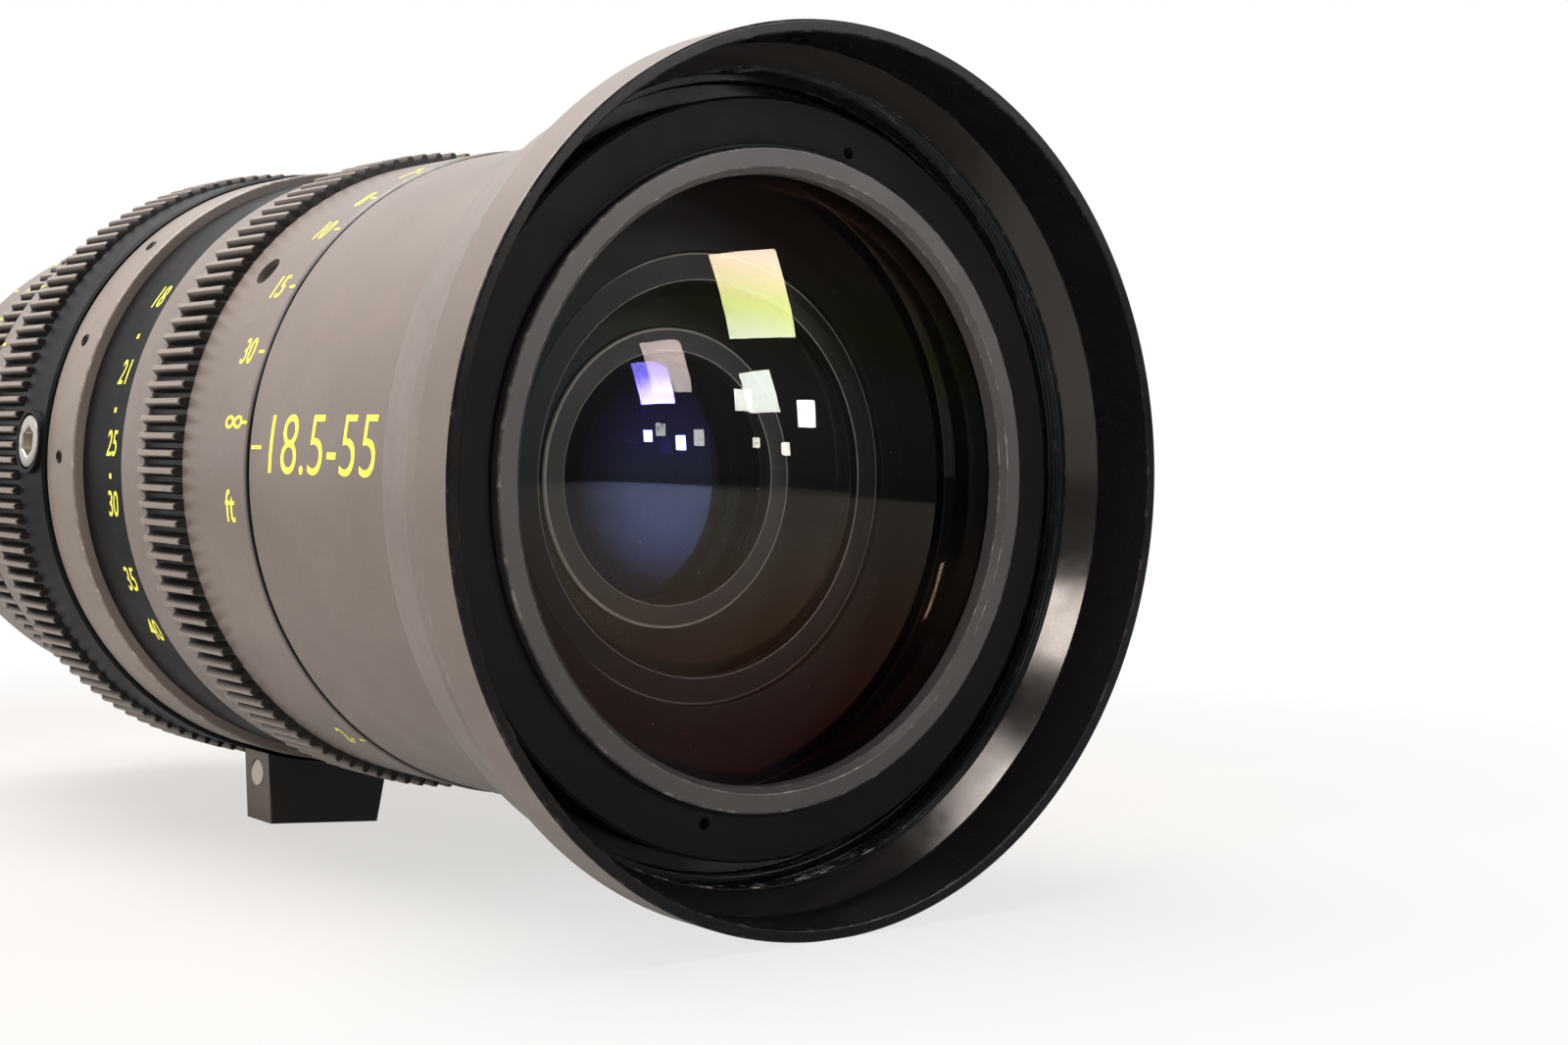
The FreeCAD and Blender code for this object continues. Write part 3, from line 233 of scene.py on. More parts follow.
def dome(name, radius, places, finishes, segments):
    """A solid of revolution with a pole at each end: rows of (radius, place) are carried round
    the axis, and the first and last rows, on the axis, are single points."""
    points = spin(radius[None, 1:-1], places[None, 1:-1], angles_round(segments))
    ends = np.array([[0, places[0], 0], [0, places[-1], 0]])
    return capped(name, points, ends, finishes)


# Finishes

# A noise texture's values mostly stay between these
NOISE_SPAN = (0.3, 0.7)


def fill_inputs(node, inputs):
    """Link or set each of a node's inputs."""
    for key, value in dict(inputs).items():
        if isinstance(value, bpy.types.NodeSocket):
            node.id_data.links.new(value, node.inputs[key])
        else:
            node.inputs[key].default_value = value


def node_adder(tree):
    """A helper that adds a node to a tree, with its settings and inputs."""
    def add(kind, inputs=(), **settings):
        node = tree.nodes.new(kind)
        for key, value in settings.items():
            setattr(node, key, value)
        fill_inputs(node, inputs)
        return node
    return add


def new_finish(name):
    """A node material, its shader, a helper that adds nodes, and the object's own
    coordinates."""
    finish = bpy.data.materials.new(name)
    finish.use_nodes = True
    add = node_adder(finish.node_tree)
    place = add("ShaderNodeTexCoord").outputs["Object"]
    return finish, finish.node_tree.nodes["Principled BSDF"], add, place


def noise(add, place, scale, detail=3.0, rough=0.5):
    """A noise texture."""
    inputs = {"Vector": place, "Scale": scale, "Detail": detail, "Roughness": rough}
    return add("ShaderNodeTexNoise", inputs).outputs["Fac"]


def ranged(add, value, low, high, new_low, new_high):
    """A value carried from one range to another and held inside it."""
    inputs = {"Value": value, 1: low, 2: high, 3: new_low, 4: new_high}
    return add("ShaderNodeMapRange", inputs).outputs["Result"]


def worked(add, operation, first, second=0.0):
    """The result of a math node for one or two values."""
    return add("ShaderNodeMath", {0: first, 1: second}, operation=operation).outputs[0]


def blended(add, share, first, second, mode="MIX"):
    """Two colours mixed by a share."""
    node = add("ShaderNodeMix", data_type="RGBA", blend_type=mode)
    fill_inputs(node, {0: share, 6: first, 7: second})
    return node.outputs[2]


def shaded(add, colour, value):
    """A colour times a value."""
    gray = add("ShaderNodeCombineColor", {"Red": value, "Green": value, "Blue": value})
    return blended(add, 1.0, colour, gray.outputs["Color"], "MULTIPLY")


def split(add, place):
    """The three parts of a place."""
    return add("ShaderNodeSeparateXYZ", {"Vector": place}).outputs


def on_edge(add):
    """How much a point lies on an edge, as its mesh says."""
    return add("ShaderNodeAttribute", attribute_name="edge").outputs["Fac"]


def bumped(add, height, strength, distance):
    """The surface's direction over small heights."""
    inputs = {"Height": height, "Strength": strength, "Distance": distance}
    return add("ShaderNodeBump", inputs).outputs["Normal"]


def beaded(name, dark, light, rough, bare_and_highlight=None, wear_and_highlight=0.5, grain=0.006, metal=0.0, sheen=0.5,
           crest=None, worn_and_glinting_below=None, rub=(0.52, 0.66), painted_shade_before=None):
    """Bead-blasted and dyed metal: a fine grain and cloudy colour.

    Edges turn towards a light colour as a noise climbs through a given range, and hardly
    at all above a given height. Where that range is low, nearly all of each edge takes the light
    colour, a painted highlight on the edges; the near-white crests low on the filter thread are
    partly worn paint and partly a painted glint. A crest colour covers the edges whole. In front
    of a given place on the axis the surface is painted dark, a painted shade for the gap there.
    The grain's height is in millimetres.
    """
    finish, shader, add, place = new_finish(name)
    fine = noise(add, place, 2600, 2)
    cloud = ranged(add, noise(add, place, 38, 5, 0.6), *NOISE_SPAN, 0, 1)
    colour = shaded(add, blended(add, cloud, dark, light),
                    ranged(add, fine, 0.35, 0.75, 0.93, 1.06))
    if bare_and_highlight:
        # Edges take the light colour where a noise passes the range; a low range lights nearly
        # all of each edge, a painted highlight.
        rubbed_and_highlight = ranged(add, noise(add, place, 420, 4, 0.7), *rub, 0, wear_and_highlight)
        mask = worked(add, "MULTIPLY", on_edge(add), rubbed_and_highlight)
        # Only low down: the near-white crests are partly worn paint and partly a painted glint.
        if worn_and_glinting_below is not None:
            fade = 3 * MM
            near = ranged(add, split(add, place)["Z"], worn_and_glinting_below, worn_and_glinting_below + fade, 1, 0.1)
            mask = worked(add, "MULTIPLY", mask, near)
        colour = blended(add, mask, colour, bare_and_highlight)
    if crest:
        colour = blended(add, ranged(add, on_edge(add), 0.55, 1.0, 0, 1), colour, crest)
    # Painted shade: in front of the given place the surface is dark, for the shade in the gap
    # there.
    if painted_shade_before is not None:
        fade = 0.05 * MM
        gap = ranged(add, split(add, place)["Y"], painted_shade_before - fade, painted_shade_before, 1, 0)
        colour = blended(add, gap, colour, GAP_PAINTED_SHADE)
    smear = ranged(add, noise(add, place, 160, 4, 0.6), *NOISE_SPAN, rough - 0.05, rough + 0.06)
    fill_inputs(shader, {
        "Base Color": colour, "Roughness": smear, "Metallic": metal,
        "Specular IOR Level": sheen, "Normal": bumped(add, fine, 0.35, grain * MM),
    })
    return finish


def turned_metal(name, colour, rough, marks_scale=900.0):
    """Bright metal with fine turning marks round the axis and a little cloudiness."""
    finish, shader, add, place = new_finish(name)
    cloud = ranged(add, noise(add, place, 120, 4), *NOISE_SPAN, 0, 1)
    darker = tuple(0.88 * c for c in colour[:3]) + (1.0,)
    ring = add("ShaderNodeMapping", {"Vector": place, "Scale": (0.3, 1.0, 0.3)})
    marks = noise(add, ring.outputs["Vector"], marks_scale, 3)
    fill_inputs(shader, {
        "Base Color": blended(add, cloud, darker, colour), "Metallic": 1.0,
        "Roughness": ranged(add, marks, *NOISE_SPAN, rough - 0.06, rough + 0.08),
        "Normal": bumped(add, marks, 0.12, 0.003 * MM),
    })
    return finish


def paint(name, colour, rough=0.5):
    """Screened marking paint, a little uneven in cover."""
    finish, shader, add, place = new_finish(name)
    cover = noise(add, place, 900, 3)
    thin = tuple(0.82 * c for c in colour[:3]) + (1.0,)
    fill_inputs(shader, {
        "Base Color": blended(add, ranged(add, cover, 0.35, 0.6, 0, 1), thin, colour),
        "Roughness": ranged(add, cover, *NOISE_SPAN, rough - 0.08, rough + 0.08),
    })
    return finish


def coating(name, coat_and_reflection_tints, least, most, dust=0.0, bloom=None):
    """Coated glass: a clear sheet whose cover is its reflection.

    The reflection takes a colour that drifts with height over a row of colours (height in
    millimetres, colour): partly the coating's own colour and partly a painted reflection of the
    surroundings' colours. Its share grows from least to most as the surface turns away. A bloom
    is a stronger reflection inside a radius: (radius, share). Dust is small pale specks round the
    points of a cell pattern.
    """
    finish, shader, add, place = new_finish(name)
    reach = 40 * MM
    drift = ranged(add, noise(add, place, 26, 2), *NOISE_SPAN, -2 * MM, 2 * MM)
    drifted = worked(add, "ADD", drift, split(add, place)["Z"])
    ramp = add("ShaderNodeValToRGB", {"Fac": ranged(add, drifted, -reach, reach, 0, 1)})
    stops = ramp.color_ramp.elements
    while len(stops) < len(coat_and_reflection_tints):
        stops.new(0.5)
    for stop, (level, colour) in zip(stops, coat_and_reflection_tints):
        stop.position = level * MM / (2 * reach) + 0.5
        stop.color = colour
    tint = ramp.outputs["Color"]
    slant = add("ShaderNodeLayerWeight", {"Blend": 0.35}).outputs["Facing"]
    cover = ranged(add, slant, 0.0, 1.0, least, most)
    if bloom:
        radius, share = bloom
        flat = add("ShaderNodeVectorMath", {0: place, 1: (1, 0, 1)}, operation="MULTIPLY")
        out = add("ShaderNodeVectorMath", {0: flat.outputs[0]}, operation="LENGTH")
        glow = ranged(add, out.outputs["Value"], radius * 0.4, radius, share, 0)
        cover = worked(add, "ADD", cover, glow)
    rough, metal = 0.0, 1.0
    if dust:
        cell = add("ShaderNodeTexVoronoi", {"Vector": place, "Scale": 260.0, "Randomness": 1.0})
        speck = ranged(add, cell.outputs["Distance"], 0.0, 0.035, dust, 0.0)
        cover = worked(add, "MAXIMUM", cover, speck)
        tint = blended(add, speck, tint, DUST)
        rough, metal = speck, ranged(add, speck, 0, 1, 1, 0)
    fill_inputs(shader, {
        "Base Color": tint, "Alpha": cover, "Roughness": rough, "Metallic": metal,
    })
    return finish


def two_tone(name, front, side):
    """The foot's finish: black in front, with gray sides. The sides lie where x, either way,
    passes a half width that widens from the foot's bottom upwards."""
    finish, shader, add, place = new_finish(name)
    apart = split(add, place)
    half = ranged(add, apart["Z"], -61 * MM, -47 * MM, 9.7 * MM, 11.7 * MM)
    mask = worked(add, "GREATER_THAN", worked(add, "ABSOLUTE", apart["X"]), half)
    cloud = ranged(add, noise(add, place, 60, 4), *NOISE_SPAN, 0.85, 1.1)
    fill_inputs(shader, {
        "Base Color": shaded(add, blended(add, mask, front, side), cloud),
        "Specular IOR Level": 0.3,
        "Roughness": ranged(add, noise(add, place, 200, 3), *NOISE_SPAN, 0.3, 0.45),
    })
    return finish


BARE = srgb(196, 188, 182)
DUST = (0.9, 0.82, 0.7, 1)
# Painted shade colour for a narrow gap between parts
GAP_PAINTED_SHADE = srgb(7, 6, 6)
GRAY_DARK, GRAY_LIGHT = srgb(97, 86, 80), srgb(107, 95, 89)
WARM_GRAY = beaded("warm_gray_anodised", GRAY_DARK, GRAY_LIGHT, 0.36, BARE, 0.35, sheen=0.6)
# The focus ring's front edge is painted dark: painted shade for the gap behind the front barrel.
FOCUS_GRAY = beaded("focus_gray_anodised", GRAY_DARK, GRAY_LIGHT, 0.36, sheen=0.6,
                    painted_shade_before=front_of("focus_ring") + 0.2 * MM)
BLACK = beaded("black_anodised", srgb(10, 9, 9), srgb(15, 14, 15), 0.42,
               srgb(90, 84, 80), 0.4, sheen=0.11)
FLARE_BLACK = beaded("flare_black", srgb(19, 17, 17), srgb(25, 23, 23), 0.25,
                     srgb(110, 102, 94), 0.3, sheen=0.2)
BEZEL_BLACK = beaded("bezel_black", srgb(32, 30, 30), srgb(39, 36, 36), 0.55, grain=0.001,
                     sheen=0.07)
# The filter thread's crests low down turn near white: partly worn paint and partly a painted
# glint where light falls on the bottom of the thread.
THREAD_BLACK = beaded("thread_black", srgb(10, 9, 9), srgb(14, 13, 13), 0.3,
                      srgb(236, 226, 216), 1.0, sheen=0.4, worn_and_glinting_below=-48 * MM)
# Black of the glass cell and screws, also put on the main tube and the front barrel's rear face
# as painted shade in the gap before the focus ring.
CELL_BLACK_AND_GAP_SHADE = beaded("cell_black_and_painted_gap_shade", srgb(8, 7, 7), srgb(12, 11, 10), 0.5, grain=0.001, sheen=0.2)
# The inner retaining rings are light along nearly all of each edge: a painted highlight on their
# edges.
CELL_RING = beaded("cell_ring_black", srgb(12, 11, 11), srgb(17, 16, 15), 0.4,
                   srgb(150, 144, 138), 1.0, grain=0.001, sheen=0.25, rub=(0.1, 0.35))
PUPIL_RING = beaded("pupil_ring_gray", srgb(44, 42, 42), srgb(56, 53, 52), 0.4,
                    srgb(170, 164, 158), 1.0, grain=0.001, sheen=0.3, rub=(0.1, 0.35))
CONE_BROWN = beaded("cone_satin", srgb(72, 68, 66), srgb(84, 79, 76), 0.17,
                    srgb(120, 112, 104), 0.3, grain=0.002, metal=0.8)
RING_GRAY = beaded("ring_gray", srgb(74, 70, 70), srgb(88, 83, 82), 0.38, BARE, 0.5)
SUPPORT_GRAY = beaded("support_gray", srgb(108, 97, 90), srgb(120, 108, 101), 0.42, BARE, 0.4)
STEEL = turned_metal("mount_steel_turned", srgb(206, 204, 200), 0.24)
SCREW = turned_metal("screw_steel_bright", srgb(214, 206, 198), 0.3, 1400)
BRONZE = turned_metal("cam_bronze", srgb(176, 142, 92), 0.32)
BLADE = beaded("blade_black", srgb(22, 22, 24), srgb(32, 32, 34), 0.45)
# Gear teeth: crests in a light gray, partly the gear's gray and partly a painted highlight;
# flanks, gaps and front faces painted near black as painted shade between the teeth.
TOOTH_GRAY_AND_GAP_SHADE = beaded("tooth_gray_and_painted_shade", srgb(30, 27, 25), srgb(38, 34, 32), 0.42, sheen=0.3,
                    crest=srgb(122, 111, 104))
YELLOW = paint("yellow_marking", srgb(236, 230, 74))
# The coatings' colours by height are partly their own colour and partly painted reflections.
FRONT_GLASS = coating("front_glass_coating", (
    (-34, srgb(170, 70, 66)), (-18, srgb(190, 140, 112)), (2, srgb(214, 206, 190)),
    (12, srgb(226, 236, 230)), (20, srgb(206, 216, 128)), (27, srgb(240, 214, 190)),
    (38, srgb(196, 120, 90)),
), 0.03, 0.15, dust=0.8)
INNER_GLASS = coating("inner_glass_coating", (
    (-20, srgb(150, 150, 120)), (0, srgb(170, 190, 190)), (16, srgb(225, 205, 200)),
), 0.018, 0.11)
PUPIL_GLASS = coating("pupil_glass_coating", (
    (-10, srgb(110, 130, 200)), (0, srgb(120, 132, 180)), (8, srgb(120, 112, 235)),
), 0.03, 0.2, bloom=(14.5 * MM, 0.66))
FOOT = two_tone("foot_two_tone", srgb(34, 31, 29), srgb(104, 94, 87))

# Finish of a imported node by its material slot, and by its own name where it differs
SLOT_FINISH = {
    "black_anodised": BLACK,
    "barrel_gray": WARM_GRAY,
    "gear_gray": WARM_GRAY,
    "ring_gray": RING_GRAY,
    "coated_glass": INNER_GLASS,
    "bronze": BRONZE,
    "mount_steel": STEEL,
    "screw_steel": SCREW,
    "blade_black": BLADE,
}
NODE_FINISH = {
    "focus_ring": FOCUS_GRAY,
    "front_bezel": BEZEL_BLACK,
    "side_boss": BLACK,
    # The main tube shows only in the gap before the focus ring, and is painted black there as
    # painted shade.
    "main_tube": CELL_BLACK_AND_GAP_SHADE,
    "support_foot": FOOT,
    "focus_set_screw": CELL_BLACK_AND_GAP_SHADE,
}


def dress_nodes():
    """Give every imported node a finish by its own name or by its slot's name."""
    for node, thing in NODES.items():
        slot = thing.data.materials[0].name.split(".")[0] if thing.data.materials else ""
        finish = NODE_FINISH.get(node) or SLOT_FINISH.get(slot, BLACK)
        thing.data.materials.clear()
        thing.data.materials.append(finish)


dress_nodes()


# Flared front

THREAD_SEAT = RIM_RADIUS - 4.0 * MM
PUPIL_RADIUS = 17.55 * MM
# Depths behind the rim, in millimetres
THREAD_FRONT, THREAD_REAR, GROOVE_REAR = 13.6, 17.5, 20.0


def make_hood():
    """The flared front, turned from one closed profile: land, flare and shoulder outside, then
    groove, thread seat, cone and wall inside."""
    gray, black, cone = 0, 1, 2
    wall = RIM_RADIUS - 1.6 * MM
    groove = THREAD_SEAT - 1.4 * MM
    bore = groove - 7.0 * MM
    flare, shoulder = RIM_RADIUS - 2.2 * MM, RIM_RADIUS - 4.1 * MM
    rear = back_of("front_hood")
    profile = [
        (wall, RIM, 0.25, black),
        (RIM_RADIUS, RIM, 0.35, gray),
        (RIM_RADIUS, behind(7.0), 0.5, gray),
        (flare, behind(13.0), 0.6, gray),
        (shoulder, behind(22.0), 0.8, gray),
        (BARREL_RADIUS, rear, 0.3, gray),
        (bore, rear, SHARP, black),
        (bore, behind(GROOVE_REAR), SHARP, black),
        (groove, behind(GROOVE_REAR), 0.2, black),
        (groove, behind(THREAD_REAR), 0.15, black),
        (THREAD_SEAT, behind(THREAD_REAR), 0.15, black),
        (THREAD_SEAT, behind(THREAD_FRONT), 0.3, cone),
        (wall, behind(9.5), 0.5, black),
    ]
    hood = lathe("flared_hood", profile, [WARM_GRAY, FLARE_BLACK, CONE_BROWN], FRONT_SEGMENTS)
    return add_piece(hood, "barrel", "black_anodised", "front_hood")


def make_thread():
    """The filter thread, a true helix: at angle a and place y the radius is the seat's less
    the depth times a triangle wave of (y / pitch - a / full turn), which fades out at both
    ends. A plain wall outside it closes the ring."""
    pitch, deep, crest = 0.75 * MM, 0.4116 * MM, 0.12
    fade_length, lift, wall = 0.4 * MM, 0.01 * MM, 0.12 * MM
    first, last = behind(THREAD_FRONT + 0.15), behind(THREAD_REAR - 0.15)
    angle = angles_round(THREAD_SEGMENTS)
    along = np.linspace(first, last, 61)[None, :]
    phase = (along / pitch - angle / TURN) % 1.0
    fade = (np.clip((along - first) / fade_length, 0, 1)
            * np.clip((last - along) / fade_length, 0, 1))
    inner = THREAD_SEAT - deep * fade * (1 - np.abs(2 * phase - 1)) - lift
    outer = np.full((THREAD_SEGMENTS, 2), THREAD_SEAT + wall)
    radius = np.concatenate([inner, outer], 1)
    place = np.concatenate([np.broadcast_to(along, inner.shape),
                            np.broadcast_to([[last, first]], outer.shape)], 1)
    edge = np.concatenate([np.abs(phase - 0.5) < crest, np.zeros(outer.shape, bool)], 1)
    thread = weave("filter_thread_ridges", spin(radius, place, angle), [THREAD_BLACK],
                   edge.astype(float))
    return add_piece(thread, "barrel", "black_anodised")


def make_retaining_ring():
    """The ring that holds the front glass, turned from five corners: its inner face slopes
    from a wide opening in front to a narrower seat."""
    node = "front_retaining_ring"
    front, rear, outer = front_of(node), back_of(node), radius_of(node)
    opening, seat = outer - 2.6 * MM, outer - 3.4 * MM
    profile = [
        (opening, front, 0.2, 0),
        (outer, front, 0.35, 0),
        (outer, rear, SHARP, 0),
        (seat, rear, SHARP, 0),
        (seat, front + 0.9 * MM, 0.3, 0),
    ]
    ring = lathe("glass_retaining_ring", profile, [RING_GRAY], FRONT_SEGMENTS)
    return add_piece(ring, "barrel", "ring_gray", node)


def make_cell():
    """The cell that holds the front three glasses, turned from one profile: a nose in front,
    and inside three steps down to the opening behind the third glass."""
    outer, rear = radius_of("front_cell"), back_of("front_cell")
    nose, seat = outer - 1.2 * MM, 42.9 * MM
    clear = 0.3 * MM
    second = radius_of("second_element") + clear
    third = radius_of("third_element") + clear
    front, first_shelf = behind(14.0), behind(28.2)
    second_shelf, third_shelf = behind(38.11), behind(45.01)
    profile = [
        (seat, front, SHARP, 0),
        (nose, front, SHARP, 0),
        (nose, behind(GROOVE_REAR), SHARP, 0),
        (outer, behind(GROOVE_REAR), SHARP, 0),
        (outer, rear, SHARP, 0),
        (PUPIL_RADIUS, rear, SHARP, 0),
        (PUPIL_RADIUS, third_shelf, SHARP, 0),
        (third, third_shelf, SHARP, 0),
        (third, second_shelf, 0.2, 0),
        (second, second_shelf, SHARP, 0),
        (second, first_shelf, 0.2, 0),
        (seat, first_shelf, 0.3, 0),
    ]
    cell = lathe("front_glass_cell", profile, [CELL_BLACK_AND_GAP_SHADE], CELL_SEGMENTS)
    return add_piece(cell, "barrel", "black_anodised", "front_cell")


# Glass

def ball_cap(radius, curve, count):
    """Radii from the axis to an edge and how far a ball surface of that curve has fallen back:
    curve less the root of curve squared less radius squared."""
    steps = np.linspace(0, radius, count)
    return steps, curve - np.sqrt(curve ** 2 - steps ** 2)


def make_glass(name, node, front, back, finish, segments):
    """A glass turned from its front surface, its edge and its back surface. Each surface is
    (radii, how far it has fallen back): the front falls from the node's front end, and the
    back rises from its rear end, reading from the edge to the axis."""
    (radii, fall), (inward, hollow) = front, back
    vertex, rear = front_of(node), back_of(node)
    radius = np.concatenate([radii, [radius_of(node)], inward[::-1]])
    places = np.concatenate([vertex + fall, [rear], rear - hollow.max() + hollow[::-1]])
    glass = dome(name, radius, places, [finish], segments)
    return add_piece(glass, "barrel", "coated_glass", node)


def make_glasses():
    """The three front glasses: a bulged front and a hollow back, a flat front and a hollow
    back, and a bulged front and a flat back."""
    bulged = ball_cap(radius_of("front_element"), 118 * MM, 64)
    hollow = ball_cap(36 * MM, 50 * MM, 48)
    make_glass("front_glass", "front_element", bulged, hollow, FRONT_GLASS, CELL_SEGMENTS)
    flat = np.linspace(0, radius_of("second_element"), 24), np.zeros(24)
    hollow = ball_cap(25 * MM, 70 * MM, 32)
    make_glass("second_glass", "second_element", flat, hollow, INNER_GLASS, BAND_SEGMENTS)
    bulged = ball_cap(radius_of("third_element"), 60 * MM, 48)
    flat = np.zeros(1), np.zeros(1)
    make_glass("third_glass", "third_element", bulged, flat, PUPIL_GLASS, BAND_SEGMENTS)


# Barrels, bands and geared rings

def plain_band(name, node, inner, finish, body, slot, rounding=0.35):
    """A turned band with softened edges: a rectangle as long and wide as the node that it
    stands for, carried round the axis."""
    front, rear, outer = front_of(node), back_of(node), radius_of(node)
    profile = [
        (inner, front, SHARP, 0), (outer, front, rounding, 0),
        (outer, rear, rounding, 0), (inner, rear, SHARP, 0),
    ]
    return add_piece(lathe(name, profile, [finish]), body, slot, node)


def make_front_barrel():
    """The barrel behind the flare, turned from six corners: a thin wall in front, stepped
    inside to sit on the tube."""
    front, rear = front_of("front_barrel"), back_of("front_barrel")
    inner, step = BARREL_RADIUS - 2.9 * MM, rear - 22.3 * MM
    # The rear face is painted black: painted shade for the gap before the focus ring.
    profile = [
        (inner, front, SHARP, 0), (BARREL_RADIUS, front, SHARP, 0),
        (BARREL_RADIUS, rear, 0.2, 1), (TUBE_RADIUS, rear, SHARP, 0),
        (TUBE_RADIUS, step, SHARP, 0), (inner, step, SHARP, 0),
    ]
    barrel = lathe("front_barrel_shell", profile, [WARM_GRAY, CELL_BLACK_AND_GAP_SHADE])
    return add_piece(barrel, "barrel", "barrel_gray", "front_barrel")


# One tooth: its eight corners in shares of the pitch, and how far each stands up
TOOTH_CORNERS = np.array([-0.36, -0.235, -0.155, -0.12, 0.12, 0.155, 0.235, 0.36])
TOOTH_RISE = np.array([0.0, 0.5, 0.93, 1.0, 1.0, 0.93, 0.5, 0.0])


def toothed(name, node, teeth, collar, body):
    """A gear ring on a grid of corners round the ring and stations along the axis.

    At a station the radius is low + rise * (high - low), where rise is 0 in the gap between
    teeth and 1 on the crest. Behind the straight stretch the gap's floor rises to the collar
    on the arc that the cutter leaves: 1 less the root of 1 less the station squared.
    """
    front, rear, top = front_of(node), back_of(node), radius_of(node)
    inner, gap = top - 3.5 * MM, top - 1.9 * MM
    bevel, straight, runout, rim = 0.25 * MM, 1 * MM, 4.2 * MM, 0.7 * MM
    pitch = TURN / teeth
    angle = (np.arange(teeth)[:, None] + TOOTH_CORNERS).ravel() * pitch
    rise = np.tile(TOOTH_RISE, teeth)[:, None]
    arc = np.linspace(0, 1, 9)
    climb = 1 - np.sqrt(1 - (arc * 0.97) ** 2)
    climb = climb / climb.max()
    places = np.concatenate([
        [front, front, front + bevel, front + straight],
        rear - rim - runout * (1 - arc), [rear, rear],
    ])
    low = np.concatenate([
        [inner, gap, gap, gap], gap + (collar - gap) * climb, [collar - 0.05 * MM, inner],
    ])
    high = np.concatenate([
        [inner, top - bevel, top, top], np.full(arc.size, top), [collar, inner],
    ])
    points = spin(low + rise * (high - low), places[None, :], angle[:, None])
    # The edge values mark the crests and the top of the run-out, which take the light gray; the
    # rest is painted dark as shade between the teeth.
    lit = np.concatenate([[0, 0.5], np.ones(places.size - 3), [0]])
    edge = np.maximum(rise, low > collar - 0.3 * MM) * lit
    gear = weave(name, points, [TOOTH_GRAY_AND_GAP_SHADE], edge)
    gear.data.set_sharp_from_angle(angle=math.radians(38))
    return add_piece(gear, body, "gear_gray", node)


make_hood()
make_thread()
make_retaining_ring()
make_cell()
make_glasses()
make_front_barrel()
plain_band("second_glass_ring", "second_retaining_ring", 26.8 * MM, CELL_RING, "barrel",
           "black_anodised", 0.3)
plain_band("third_glass_ring", "third_retaining_ring", PUPIL_RADIUS, PUPIL_RING, "barrel",
           "black_anodised", 0.4)
plain_band("centre_scale_band", "centre_band", TUBE_RADIUS, BLACK, "barrel", "black_anodised")
plain_band("support_ring_band", "support_ring", TUBE_RADIUS, SUPPORT_GRAY, "barrel", "ring_gray")
plain_band("focus_collar_band", "focus_collar", TUBE_RADIUS + 1.0 * MM, WARM_GRAY, "focus",
           "barrel_gray")
plain_band("rear_index_band", "index_band", 40 * MM, BLACK, "barrel", "black_anodised")
# The focus gear runs out to its collar, the others to just under their crests
COLLAR_DROP = 0.7 * MM
toothed("focus_gear_teeth", "focus_gear", 122, radius_of("focus_collar"), "focus")
toothed("zoom_gear_teeth", "zoom_gear", 127, radius_of("zoom_gear") - COLLAR_DROP, "zoom")
toothed("iris_gear_teeth", "iris_gear", 112, radius_of("iris_gear") - COLLAR_DROP, "iris")


# Markings

DIGIT_WIDTH, DIGIT_SLANT = 0.72, 0.12
TICK_LENGTH, TICK_WIDTH = 1.6 * MM, 0.45 * MM
# Angle from the top of a ring's first number, in degrees
FIRST_NUMBER = 84


def letter_mesh(name, text, size, bold):
    """A flat word with a little thickness, cut into strips narrow enough to bend."""
    thick, strip = 0.015 * MM, 0.9 * MM
    curve = bpy.data.curves.new(name, "FONT")
    curve.body = text
    curve.size = size
    curve.align_y = "CENTER"
    curve.extrude = thick
    curve.offset = bold
    curve.resolution_u = 6
    source = link_object(name + "_source", curve)
    mesh = bpy.data.meshes.new_from_object(source)
    bpy.data.objects.remove(source)
    bpy.data.curves.remove(curve)
    work = bmesh.new()
    work.from_mesh(mesh)
    bmesh.ops.remove_doubles(work, verts=work.verts, dist=0.0005 * MM)
    tall = max(abs(v.co.y) for v in work.verts)
    for level in np.arange(-tall, tall, strip)[1:]:
        bmesh.ops.bisect_plane(work, geom=work.verts[:] + work.edges[:] + work.faces[:],
                               plane_co=(0, level, 0), plane_no=(0, 1, 0), dist=1e-7)
    bmesh.ops.triangulate(work, faces=work.faces)
    work.to_mesh(mesh)
    work.free()
    return mesh


def marking(name, text, size, radius, along, angle, body, narrow=DIGIT_WIDTH,
            slant=DIGIT_SLANT, bold=0.03 * MM):
    """A painted word or number bent onto a round: the reading direction runs to the front, so
    a letter point (a, b) goes to place along - a * narrow - b * slant and angle - b / radius."""
    lift = 0.02 * MM
    mesh = letter_mesh(name, text, size, bold)
    flat = np.empty(len(mesh.vertices) * 3, np.float32)
    mesh.vertices.foreach_get("co", flat)
    across, up, out = flat.reshape(-1, 3).T
    bent = spin(radius + lift + out, along - (across * narrow + up * slant),
                math.radians(angle) - up / radius)
    mesh.vertices.foreach_set("co", bent.astype(np.float32).ravel())
    mesh.materials.clear()
    mesh.materials.append(YELLOW)
    mesh.update()
    return add_piece(link_object(name, mesh), body, "barrel_gray")


